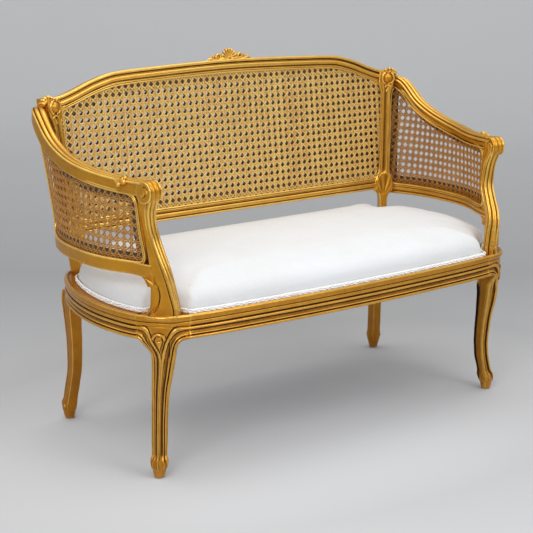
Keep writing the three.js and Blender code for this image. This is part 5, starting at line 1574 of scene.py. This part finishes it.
def cane_sheet(name, outline, surface, pitch, width, phase=(0, 0), seed=1):
    """Six-way weave: upright and level pairs, and two diagonals, passing over and under."""
    low, high = outline.min(axis=0) - 2 * MM, outline.max(axis=0) + 2 * MM
    grown = outline + unit(outline - outline.mean(axis=0)) * 3.5 * MM
    phase = np.array(phase) * pitch
    gap, thick = 3.9 * MM, 0.8 * MM
    first = np.floor((low - phase) / pitch)
    last = np.ceil((high - phase) / pitch)
    x = phase[0] + pitch * np.arange(first[0] * 4, last[0] * 4 + 1) / 4
    z = phase[1] + pitch * np.arange(first[1] * 4, last[1] * 4 + 1) / 4
    kx = phase[0] + pitch * np.arange(first[0], last[0] + 1)
    kz = phase[1] + pitch * np.arange(first[1], last[1] + 1)
    parts = []

    def wave(value, origin):
        return np.cos(2 * math.pi * (value - origin) / pitch)

    upright = np.sort(np.concatenate([kx - gap / 2, kx + gap / 2]))
    centre = np.stack(np.meshgrid(upright, z, indexing="ij"), axis=-1)
    lift = 0.3 * thick * (1 + wave(centre[..., 1], phase[1]))
    parts.append(strands("upright", centre, np.array([1.0, 0]), lift, grown, surface, width, seed))
    level = np.sort(np.concatenate([kz - gap / 2, kz + gap / 2]))
    centre = np.stack(np.meshgrid(level, x, indexing="ij"), axis=-1)[..., ::-1]
    lift = -0.3 * thick * (1 + wave(centre[..., 0], phase[0]))
    parts.append(strands("level", centre, np.array([0, 1.0]), lift, grown, surface, width, seed + 1))
    for slope in (1, -1):
        span = np.array([
            z[0] - slope * x[-1], z[0] - slope * x[0], z[-1] - slope * x[-1], z[-1] - slope * x[0]
        ])
        origin = phase[1] - slope * phase[0] + pitch / 2
        offsets = origin + pitch * np.arange(
            math.floor((span.min() - origin) / pitch), math.ceil((span.max() - origin) / pitch) + 1
        )
        c, xs = np.meshgrid(offsets, x, indexing="ij")
        centre = np.stack([xs, slope * xs + c], axis=-1)
        lift = slope * 1.15 * thick * wave(xs, phase[0])
        parts.append(strands(
            "diagonal", centre, np.array([-slope, 1]) / math.sqrt(2), lift, grown, surface,
            width * 1.08, seed + 2 + slope
        ))
    obj = joined(name, parts)
    wall = obj.modifiers.new("wall", "SOLIDIFY")
    wall.thickness, wall.offset = thick, 0
    deselect()
    obj.select_set(True)
    bpy.context.view_layer.objects.active = obj
    bpy.ops.object.modifier_apply(modifier="wall")
    rounded_off(obj, 100)
    return obj


# Upholstery

def inset_plan(lay, station, inset):
    at, _, out = lay.plan_at(station)
    return at - out * inset


def cushion_line(lay):
    """Outline of the seat's upholstery, notched round the posts and stiles."""
    gap = 6 * MM
    half = [inset_plan(lay, s, 14 * MM)[0] for s in (0.5, 1, 1.4, 1.7, 2, 2.25)]
    centre, across, back, thick, broad = (v[0] for v in post_rows(lay, lay.ledge + 0.3 * MM))
    for end in (-1, 1):
        half.append((centre - across * (thick + gap) + back * end * (broad + gap)) * [1, 1, 0])
    half += [inset_plan(lay, s, 27 * MM)[0] for s in (4, 4.35, 4.7, 5.1, 5.6, 6.1, 6.6, 7.1, 7.5)]
    foot = lay.stile_at(lay.ledge)
    front_y = (foot - gap * lay.facing_out)[1] - gap
    inner_x = (foot - (13 * MM + gap) * lay.face)[0]
    half.append(np.array([(foot + 23.4 * MM * lay.face)[0], front_y, 0]))
    half.append(np.array([inner_x, front_y + gap, 0]))
    half.append(np.array([inner_x, inset_plan(lay, 10.2, 20 * MM)[0][1], 0]))
    half.append(inset_plan(lay, 11, 20 * MM)[0])
    front, back = inset_plan(lay, 0, 14 * MM), inset_plan(lay, 12, 20 * MM)
    half = np.array(half)
    return np.vstack([front, half, back, mirrored(half[::-1], -1)])[:, :2]


def cushion_outline(lay, count=420):
    return rounded_corners(cushion_line(lay), 9 * MM, count)


def cushion_rings(lay, shrink=0.0):
    line = cushion_outline(lay)
    middle = (inset_plan(lay, 0, 0)[0][1] + inset_plan(lay, 12, 0)[0][1]) / 2
    half_x, half_y = lay.sizes.seat_half_width, lay.sizes.seat_depth / 2
    place = np.concatenate([np.linspace(0, 1, 46), np.linspace(1, 1.78, 16)[1:]])
    table = np.array(CUSHION)
    read = spline(table, np.clip(place, 0, 1), power=0.25)
    inset = np.where(place <= 1, read[:, 0], place + 0 * place) * 150 * MM + shrink
    rise = np.where(place <= 1, read[:, 1], 0.985 + 0.015 * np.sin((place - 1) / 0.78 * math.pi / 2))
    at_back = smooth_step(line[:, 1] - middle, 0.1, 0.24)
    rings = []
    for deep, up in zip(inset, rise):
        # the seat keeps its height up to the back rail
        own = deep * (1 - 0.6 * at_back * max(0, 1 - deep / (190 * MM)))
        x = line[:, 0] * (1 - own / half_x)
        y = middle + (line[:, 1] - middle) * (1 - own / half_y)
        z = lay.ledge + 0.5 * MM + up * (lay.crown - lay.ledge - 0.5 * MM) - (shrink if up > 0.05 else 0)
        rings.append(np.column_stack([x, y, np.full(len(x), z)]))
    return rings


def puffed(obj, voxel, pressure, cap, floor):
    """Swells a closed cover with cloth and pressure, held at its foot and no further than the cap."""
    deselect()
    obj.select_set(True)
    bpy.context.view_layer.objects.active = obj
    remesh = obj.modifiers.new("even", "REMESH")
    remesh.mode, remesh.voxel_size = "VOXEL", voxel
    bpy.ops.object.modifier_apply(modifier="even")
    before = coordinates(obj)
    held = obj.vertex_groups.new(name="tacked")
    held.add([i for i, z in enumerate(before[:, 2]) if z < floor], 1.0, "REPLACE")
    cloth = obj.modifiers.new("cloth", "CLOTH")
    settings = cloth.settings
    settings.quality = 6
    settings.mass = 0.3
    settings.use_pressure = True
    settings.uniform_pressure_force = pressure
    settings.tension_stiffness = 18
    settings.compression_stiffness = 12
    settings.bending_stiffness = 0.6
    settings.effector_weights.gravity = 0
    settings.vertex_group_mass = "tacked"
    cloth.collision_settings.use_collision = False
    scene = bpy.context.scene
    for step in range(1, 21):
        scene.frame_set(step)
    bpy.context.view_layer.update()
    bpy.ops.object.modifier_apply(modifier="cloth")
    scene.frame_set(1)
    move = coordinates(obj) - before
    size = np.linalg.norm(move, axis=1, keepdims=True)
    place_points(obj, before + move * np.minimum(1, cap / np.maximum(size, 1e-9)))
    for group in list(obj.vertex_groups):
        obj.vertex_groups.remove(group)


def seat_cushion(lay, name):
    shrink = 3 * MM
    obj = bar(name, cushion_rings(lay, shrink), angle=180)
    puffed(obj, 8 * MM, 4.0, 5 * MM, lay.ledge + 9 * MM)
    smooth = obj.modifiers.new("ease", "SMOOTH")
    smooth.factor, smooth.iterations = 0.5, 4
    deselect()
    obj.select_set(True)
    bpy.context.view_layer.objects.active = obj
    bpy.ops.object.modifier_apply(modifier="ease")
    finer = obj.modifiers.new("finer", "SUBSURF")
    finer.levels = finer.render_levels = 1
    bpy.ops.object.modifier_apply(modifier="finer")
    deselect()
    obj.select_set(True)
    bpy.context.view_layer.objects.active = obj
    bpy.ops.object.shade_smooth()
    return obj


def seat_braid(lay, name):
    """Woven gimp: three plaited cords on a narrow tape round the foot of the cover."""
    line = cushion_outline(lay, 800)
    ahead, behind = np.roll(line, -1, 0), np.roll(line, 1, 0)
    tangent = unit(ahead - behind)
    out = np.column_stack([tangent[:, 1], -tangent[:, 0]])
    out *= np.sign(np.sum(out * (line - line.mean(axis=0)), axis=1).mean())
    out = unit(softened(out, 6))
    low, tall = lay.ledge + 0.6 * MM, lay.sizes.braid_height
    tape = []
    for a, b in ((0.2, 0.4), (1.5, 0.4), (1.5, tall / MM - 1), (0.2, tall / MM - 1)):
        spot = line + out * a * MM
        tape.append(np.column_stack([spot, np.full(len(spot), low + b * MM)]))
    parts = [hoop(name + "_tape", np.stack(tape, axis=1))]
    length = np.sum(np.linalg.norm(np.diff(np.vstack([line, line[:1]]), axis=0), axis=1))
    waves = int(round(length / (9.5 * MM)))
    count = waves * 10
    share = np.linspace(0, 1, count, endpoint=False)
    place = share * len(line)
    first = place.astype(int) % len(line)
    part = (place - np.floor(place))[:, None]
    base = line[first] * (1 - part) + line[(first + 1) % len(line)] * part
    normal = unit(out[first] * (1 - part) + out[(first + 1) % len(line)] * part)
    turn = np.linspace(0, 2 * math.pi, 6)[:-1]
    for k in range(3):
        angle = 2 * math.pi * (share * waves + k / 3)
        rise = low + tall / 2 + (tall / 2 - 1.7 * MM) * np.sin(angle)
        off = (2.1 + 0.7 * np.sin(2 * angle)) * MM
        middle = np.column_stack([base + normal * off[:, None], rise])
        along = unit(np.roll(middle, -1, 0) - np.roll(middle, 1, 0))
        outwards = np.column_stack([normal, np.zeros(count)])
        side = unit(np.cross(along, outwards))
        rings = (
            middle[:, None] + 1.75 * MM * np.cos(turn)[None, :, None] * side[:, None]
            + 1.15 * MM * np.sin(turn)[None, :, None] * outwards[:, None]
        )
        parts.append(hoop("cord", rings, angle=180))
    return joined(name, parts)


def dust_cloth(lay, name):
    """Thin black cambric tacked under the rails, sagging a little in the middle."""
    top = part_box("dust_cover")[1].z
    stations = np.linspace(0, PLAN_COUNT, 241)[:-1]
    line = inset_plan(lay, stations, 18 * MM)[:, :2]
    middle = np.array([0, line[:, 1].mean()])
    rings = []
    share = np.concatenate([np.linspace(0.01, 0.9, 16), np.linspace(0.93, 1, 6)])
    for face, spread_ in ((0, share), (1, share[::-1])):
        for k in spread_:
            spot = middle + (line - middle) * k
            sag = (
                9 * MM * (1 - k ** 2)
                + 0.8 * MM * np.cos(np.arange(len(line)) * 0.52) * (k > 0.85) * (1 - k) / 0.15
            )
            rings.append(np.column_stack([spot, top - 0.4 * MM - sag - face * 0.6 * MM]))
    return bar(name, rings, angle=60)


# Sizes and colours a user may change

def length(label, about, default):
    return bpy.props.FloatProperty(
        name=label, description=about, default=default, min=0.0, unit="LENGTH", precision=4
    )


def colour(label, about, default):
    return bpy.props.FloatVectorProperty(
        name=label, description=about, default=default, size=3, min=0.0, max=1.0, subtype="COLOR"
    )


class SetteeSizes(bpy.types.PropertyGroup):
    """Sizes of the settee."""

    seat_half_width: length("Seat half width", "Half of the seat frame's greatest width", 0.589)
    seat_depth: length("Seat depth", "Depth of the seat frame, front to back", 0.549)
    front_overhang: length("Front sweep", "How far the front of the seat frame bows out", 0.077)
    rail_top: length("Rail top", "Height of the top of the seat rails", 0.392)
    rail_height: length("Rail height", "Height of the moulded face of the seat rails", 0.057)
    crown_rise: length("Crown rise", "Height of the upholstery over the rails", 0.078)
    leg_sweep: length("Leg sweep", "How far a leg curves outwards and back", 0.014)
    leg_waist: length("Leg waist", "Half thickness of a leg", 0.015)
    side_height: length("Side height", "Height of a side from its lower rail to the arm", 0.2)
    scroll_radius: length("Scroll radius", "Radius of the arm scrolls", 0.0255)
    back_height: length("Back height", "Height of the back from its lower rail to the crest", 0.38)
    crest_fall: length("Crest fall", "How far the crest drops towards the stiles", 0.064)
    cane_pitch: length("Cane pitch", "Distance between two holes of the cane", 0.0187)
    cane_strand: length("Cane strand", "Width of one strand of cane", 0.0028)
    braid_height: length("Braid height", "Height of the braid round the seat", 0.0125)


class SetteeFinishes(bpy.types.PropertyGroup):
    """Colours of the settee."""

    gold: colour("Gold", "Gilding on flat faces", (0.66, 0.315, 0.02))
    # Raised gold is partly painted highlight, and hollow gold partly painted shade.
    gold_raised: colour("Raised gold", "Gilding on beads and edges", (1, 0.67, 0.16))
    gold_hollow: colour("Hollow gold", "Gilding in grooves and hollows", (0.06, 0.022, 0.004))
    cane: colour("Cane", "Split cane", (0.92, 0.465, 0.1))
    cloth: colour("Seat cloth", "Cloth on the seat", (0.8, 0.82, 0.84))
    braid: colour("Braid", "Braid round the seat", (0.84, 0.85, 0.86))
    floor: colour("Floor", "Floor and backdrop", (0.6, 0.605, 0.615))


def layout():
    return Layout(bpy.context.scene.settee_sizes)


def back_surface(lay, lift=0.0, way=1):
    def read(x, z):
        at = np.column_stack([x, lay.back_y(z), z]) + lay.back_front * lift
        return at, np.tile(lay.back_front * way, (len(at), 1))
    return read


def side_surface(lay, side, lift=0.0, way=-1):
    def read(y, z):
        at, out = lay.side_at(y, z, inset=PANEL_INSET + lift)
        return mirrored(at, side), mirrored(out * way, side)
    return read


class SETTEE_OT_rails(bpy.types.Operator):
    """Make the four moulded seat rails"""

    bl_idname = "settee.rails"
    bl_label = "Seat Rails"

    def execute(self, context):
        lay = layout()
        corner = knee_station(lay)
        front = shifted_station(lay, corner, -KNEE_REACH + 0.2 * MM)
        side = shifted_station(lay, corner, KNEE_SIDE_REACH - 0.2 * MM)
        spans = {
            "front_rail": (-front, front, "front_seat_rail"),
            "back_rail": (10, PLAN_COUNT - 10, "back_seat_rail"),
            "right_rail": (side, 8, "right_seat_rail"), "left_rail": (-8, -side, "left_seat_rail"),
        }
        for name, (start, end, cad) in spans.items():
            gilt(rail_bar(lay, name, start, end, 46, 90 if name == "front_rail" else 60), cad)
        return {"FINISHED"}


class SETTEE_OT_legs(bpy.types.Operator):
    """Make the carved front legs and the rear legs, with their corners of the seat frame"""

    bl_idname = "settee.legs"
    bl_label = "Legs"

    def execute(self, context):
        lay = layout()
        for name, make, reach in (
            ("front_knee_leg", front_leg, 4.2 * MM), ("rear_knee_leg", rear_leg, 2.2 * MM)
        ):
            cad = name.replace("_knee", "")
            right = make(lay, name + "_right")
            left = mirror_copy(right, name + "_left")
            gilt(right, cad + "_right", reach=reach)
            gilt(left, cad + "_left", reach=reach)
        return {"FINISHED"}


class SETTEE_OT_arms(bpy.types.Operator):
    """Make the arms with their scrolls, the arm posts and the lower side rails"""

    bl_idname = "settee.arms"
    bl_label = "Arms"

    def execute(self, context):
        lay = layout()
        for name, make, cad in (
            ("scrolled_arm", arm, "arm_rail"), ("curved_post", post, "arm_post"),
            ("side_bar", lower_side_rail, "lower_side_rail")
        ):
            right = make(lay, name + "_right")
            left = mirror_copy(right, name + "_left")
            gilt(right, cad + "_right")
            gilt(left, cad + "_left")
        return {"FINISHED"}


class SETTEE_OT_back(bpy.types.Operator):
    """Make the crest, the lower back rail and the corner stiles"""

    bl_idname = "settee.back"
    bl_label = "Back Frame"

    def execute(self, context):
        lay = layout()
        gilt(crest(lay, "moulded_crest"), "crest_rail")
        gilt(lower_back_rail(lay, "back_bar"), "lower_back_rail")
        right = stile(lay, "fluted_stile_right")
        left = mirror_copy(right, "fluted_stile_left")
        gilt(right, "corner_stile_right")
        gilt(left, "corner_stile_left")
        return {"FINISHED"}


class SETTEE_OT_panels(bpy.types.Operator):
    """Make the beaded frames round the cane openings"""

    bl_idname = "settee.panels"
    bl_label = "Panel Beads"

    def execute(self, context):
        lay = layout()
        outline = back_opening(lay)
        near = smooth_step(
            np.abs(outline[:, 0]), np.abs(outline[:, 0]).max() - 30 * MM, np.abs(outline[:, 0]).max() - 6 * MM
        )
        gilt(panel_frame("back_bead_front", outline, back_surface(lay), (11 - 3 * near) * MM))
        gilt(panel_frame("back_bead_rear", outline, back_surface(lay, way=-1), 11 * MM))
        # Dark bands inside the back's cane sheets: painted shade behind the border holes.
        for name, lift in (("back_rebate_front", 8 * MM), ("back_rebate_rear", -8 * MM)):
            dress(rebate(name, outline, back_surface(lay), 23 * MM, lift), shaded_rebate_finish(), "gilt_wood")
        outline = side_opening(lay)
        rear = outline[:, 0].max()
        near = smooth_step(outline[:, 0], rear - 40 * MM, rear - 8 * MM)
        bead = panel_frame("side_bead_right", outline, side_surface(lay, 1), (18.5 - 14 * near) * MM)
        twin = mirror_copy(bead, "side_bead_left")
        outer = panel_frame(
            "side_lip_right", outline, side_surface(lay, 1, way=1), (6.5 - 3.5 * near) * MM, 1 * MM
        )
        outer_twin = mirror_copy(outer, "side_lip_left")
        for piece in (bead, twin, outer, outer_twin):
            gilt(piece)
        # Dark band in the middle of each side sheet: painted shade behind the border holes, seen from both
        # sides.
        band = rebate("side_rebate_right", outline, side_surface(lay, 1), 20 * MM, 0)
        band_twin = mirror_copy(band, "side_rebate_left")
        for piece in (band, band_twin):
            dress(piece, shaded_rebate_finish(), "gilt_wood")
        return {"FINISHED"}


class SETTEE_OT_ornaments(bpy.types.Operator):
    """Carve the crest shell, the flowers and the leaves on the stiles"""

    bl_idname = "settee.ornaments"
    bl_label = "Carved Ornaments"

    def execute(self, context):
        lay = layout()
        gilt(crest_shell(lay, "scallop_shell"), "crest_shell")
        for name, make, cad in (
            ("stile_boss", stile_flower, "corner_rosette"), ("stile_leaf", stile_leaf, "corner_leaf")
        ):
            right = make(lay, name + "_right")
            left = mirror_copy(right, name + "_left")
            gilt(right, cad + "_right")
            gilt(left, cad + "_left")
        return {"FINISHED"}


class SETTEE_OT_cane(bpy.types.Operator):
    """Weave the double back and the two sides"""

    bl_idname = "settee.cane"
    bl_label = "Cane"

    def execute(self, context):
        lay, sizes = layout(), context.scene.settee_sizes
        outline = back_opening(lay)
        pitch, width = sizes.cane_pitch, sizes.cane_strand
        front = cane_sheet(
            "back_weave_front", outline, back_surface(lay, 8 * MM), pitch, width, (0.5, 0.2), 3
        )
        dress(front, cane_finish("split_cane_front", (1, 1, 1), (0, 1, 0)), "cane", "back_cane_front")
        rear = cane_sheet(
            "back_weave_rear", outline, back_surface(lay, -8 * MM), pitch, width, (0.72, 0.34), 9
        )
        dress(rear, cane_finish("split_cane_rear", (1, 1, 1), (0, -1, 0)), "cane", "back_cane_rear")
        outline = side_opening(lay)
        right = cane_sheet(
            "side_weave_right", outline, side_surface(lay, 1), pitch, width * 0.86, (0.1, 0.3), 15
        )
        left = mirror_copy(right, "side_weave_left")
        # The side panels get a darker copy of the cane: painted shade on the strands.
        dress(right, cane_finish("split_cane_side_painted_shade", (0.56, 0.46, 0.3)), "cane", "side_cane_right")
        dress(left, cane_finish("split_cane_side_painted_shade", (0.56, 0.46, 0.3)), "cane", "side_cane_left")
        return {"FINISHED"}


class SETTEE_OT_seat(bpy.types.Operator):
    """Make the stuffed seat, its braid and the cloth under it"""

    bl_idname = "settee.seat"
    bl_label = "Upholstery"

    def execute(self, context):
        lay, finishes = layout(), context.scene.settee_finishes
        cushion = seat_cushion(lay, "stuffed_seat")
        dress(
            cushion, woven_cloth("white_seat_cloth", finishes.cloth, 0.0016), "white_cloth",
            "seat_cover", "seat_pad", "seat_burlap", "seat_webbing"
        )
        braid = seat_braid(lay, "seat_braid")
        dress(
            braid, woven_cloth("white_braid", finishes.braid, 0.0011, 0.4, 0.85, 0.15), "white_braid",
            "seat_gimp"
        )
        under = dust_cloth(lay, "dust_cloth")
        dress(
            under, woven_cloth("black_cambric", (0.02, 0.019, 0.018), 0.0012, 0.3, 0.9, 0.1),
            "dark_cambric", "dust_cover"
        )
        return {"FINISHED"}


class SETTEE_OT_joinery(bpy.types.Operator):
    """Finish the braces, screws and glides that stay as they were built"""

    bl_idname = "settee.joinery"
    bl_label = "Joinery"

    def execute(self, context):
        for name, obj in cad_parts.items():
            if "screw" in name or "glide" in name:
                material = plain_steel()
            elif "brace" in name:
                material = plain_wood()
            else:
                continue
            obj.data.materials.clear()
            obj.data.materials.append(material)
        return {"FINISHED"}


class SETTEE_OT_stage(bpy.types.Operator):
    """Set up the floor, the lights and the camera"""

    bl_idname = "settee.stage"
    bl_label = "Stage"

    def execute(self, context):
        scene = context.scene
        floor = cove("pale_floor")
        floor.data.materials.append(floor_paint(scene.settee_finishes.floor))
        scene.view_settings.view_transform = "Standard"
        world = bpy.data.worlds.new("soft_studio")
        scene.world = world
        world.use_nodes = True
        sky = world.node_tree
        facing = node(sky, "ShaderNodeTexCoord").outputs["Generated"]
        rise = node(sky, "ShaderNodeSeparateXYZ", {"Vector": facing}).outputs["Z"]
        glow = ramp(
            sky, rise,
            [(0.0, (0.32, 0.33, 0.35)), (0.25, (0.5, 0.51, 0.53)), (0.6, (1, 1, 1)), (1, (1.1, 1.1, 1.1))]
        )
        sky.links.new(glow, sky.nodes["Background"].inputs["Color"])
        sky.nodes["Background"].inputs["Strength"].default_value = 1.0
        for name, place, aim, size, power in (
            ("left_softbox", (-2.6, -1.9, 2.7), (0, 0, 0.5), 1.5, 32),
            ("front_softbox", (0.9, -3.4, 2.6), (0, 0, 0.45), 1.6, 26),
            ("top_softbox", (0.3, 0.2, 3.4), (0, 0, 0.4), 2.2, 22),
        ):
            lamp = bpy.data.lights.new(name, "AREA")
            lamp.size, lamp.energy = size, power
            light = bpy.data.objects.new(name, lamp)
            scene.collection.objects.link(light)
            light.location = place
            light.rotation_euler = (Vector(aim) - Vector(place)).to_track_quat("-Z", "Y").to_euler()
        lens = bpy.data.cameras.new("camera")
        lens.lens, lens.sensor_width = 91.24, 36
        lens.clip_start, lens.clip_end = 0.1, 60
        camera = bpy.data.objects.new("camera", lens)
        scene.collection.objects.link(camera)
        camera.location = (-2.0032, -2.6933, 1.2455)
        camera.rotation_euler = (math.radians(75.5), 0, math.radians(-35.7))
        scene.camera = camera
        return {"FINISHED"}


def cove(name):
    """Floor that turns up into a backdrop in one sweep."""
    share = np.linspace(0, 1, 30)
    line = [(y, 0.0) for y in np.linspace(-9, 4, 8)]
    line += [(4 + 3 * math.sin(t), 3 - 3 * math.cos(t)) for t in share[1:] * math.pi / 2]
    line += [(7, z) for z in (5, 9)]
    deselect()
    bpy.ops.mesh.primitive_grid_add(
        x_subdivisions=1, y_subdivisions=len(line) - 1, size=2, location=(0, 0, 0)
    )
    obj = bpy.context.active_object
    obj.name = obj.data.name = name
    co = coordinates(obj)
    row = np.rint((co[:, 1] + 1) / 2 * (len(line) - 1)).astype(int)
    y, z = np.array(line)[row].T
    place_points(obj, np.column_stack([co[:, 0] * 12, y, z]))
    turned = math.radians(-35.7)
    co = coordinates(obj)
    place_points(obj, np.column_stack([
        co[:, 0] * math.cos(turned) - co[:, 1] * math.sin(turned),
        co[:, 0] * math.sin(turned) + co[:, 1] * math.cos(turned), co[:, 2]]))
    rounded_off(obj, 60)
    return obj


def floor_paint(tint):
    material, tree = fresh("studio_paper")
    if tree is None:
        return material
    shader = tree.nodes["Principled BSDF"]
    shade = noise(tree, 1.6, 3, 0.5)
    base = mix(tree, shade, tuple(0.985 * c for c in tint), tuple(1.015 * c for c in tint))
    # Painted shade: the floor is darkened in a band behind the settee and kept fully bright near the camera
    # and up the backdrop.
    where = node(tree, "ShaderNodeTexCoord").outputs["Object"]
    turned = node(
        tree, "ShaderNodeMapping", {"Vector": where, "Rotation": (0, 0, math.radians(35.7))}
    ).outputs["Vector"]
    away = node(tree, "ShaderNodeSeparateXYZ", {"Vector": turned}).outputs["Y"]
    band = ramp(
        tree, maths(tree, "MULTIPLY_ADD", away, 0.125, 0.25),
        [
            (0.06, (1, 1, 1)), (0.22, (0.82, 0.82, 0.82)), (0.42, (0.56, 0.56, 0.56)),
            (0.7, (0.78, 0.78, 0.78)), (1, (1.0, 1.0, 1.0))
        ]
    )
    base = mix(tree, 1.0, base, band, "MULTIPLY")
    # Painted light: a pale oval under the settee, up to 1.55 times brighter, lightens its cast shadow.
    flat = node(tree, "ShaderNodeMapping", {"Vector": where, "Scale": (1, 1.5, 0)}).outputs["Vector"]
    span = node(tree, "ShaderNodeVectorMath", {0: flat}, operation="LENGTH").outputs["Value"]
    painted_light_patch = ramp(tree, span, [(0.2, (1, 1, 1)), (1, (0, 0, 0))])
    base = mix(tree, 1.0, base, maths(tree, "MULTIPLY_ADD", painted_light_patch, 0.55, 1), "MULTIPLY")
    tree.links.new(base, shader.inputs["Base Color"])
    shader.inputs["Roughness"].default_value = 0.9
    shader.inputs["Specular IOR Level"].default_value = 0.2
    return material


class SETTEE_PT_panel(bpy.types.Panel):
    """Sizes, colours and steps of the settee"""

    bl_idname = "SETTEE_PT_panel"
    bl_label = "Settee"
    bl_space_type = "VIEW_3D"
    bl_region_type = "UI"
    bl_category = "Settee"

    def draw(self, context):
        for group in (context.scene.settee_sizes, context.scene.settee_finishes):
            column = self.layout.column(align=True)
            for key in group.__annotations__:
                column.prop(group, key)
        column = self.layout.column()
        for step in STEPS:
            column.operator(step.bl_idname)


STEPS = (
    SETTEE_OT_rails, SETTEE_OT_legs, SETTEE_OT_arms, SETTEE_OT_back, SETTEE_OT_panels, SETTEE_OT_ornaments,
    SETTEE_OT_cane, SETTEE_OT_seat, SETTEE_OT_joinery, SETTEE_OT_stage,
)
CLASSES = (SetteeSizes, SetteeFinishes, *STEPS, SETTEE_PT_panel)


def register():
    for made in CLASSES:
        bpy.utils.register_class(made)
    bpy.types.Scene.settee_sizes = bpy.props.PointerProperty(type=SetteeSizes)
    bpy.types.Scene.settee_finishes = bpy.props.PointerProperty(type=SetteeFinishes)


def unregister():
    del bpy.types.Scene.settee_finishes
    del bpy.types.Scene.settee_sizes
    for made in reversed(CLASSES):
        bpy.utils.unregister_class(made)


def main():
    register()
    for step in STEPS:
        group, name = step.bl_idname.split(".")
        getattr(getattr(bpy.ops, group), name)()
    deselect()


if __name__ == "__main__":
    main()
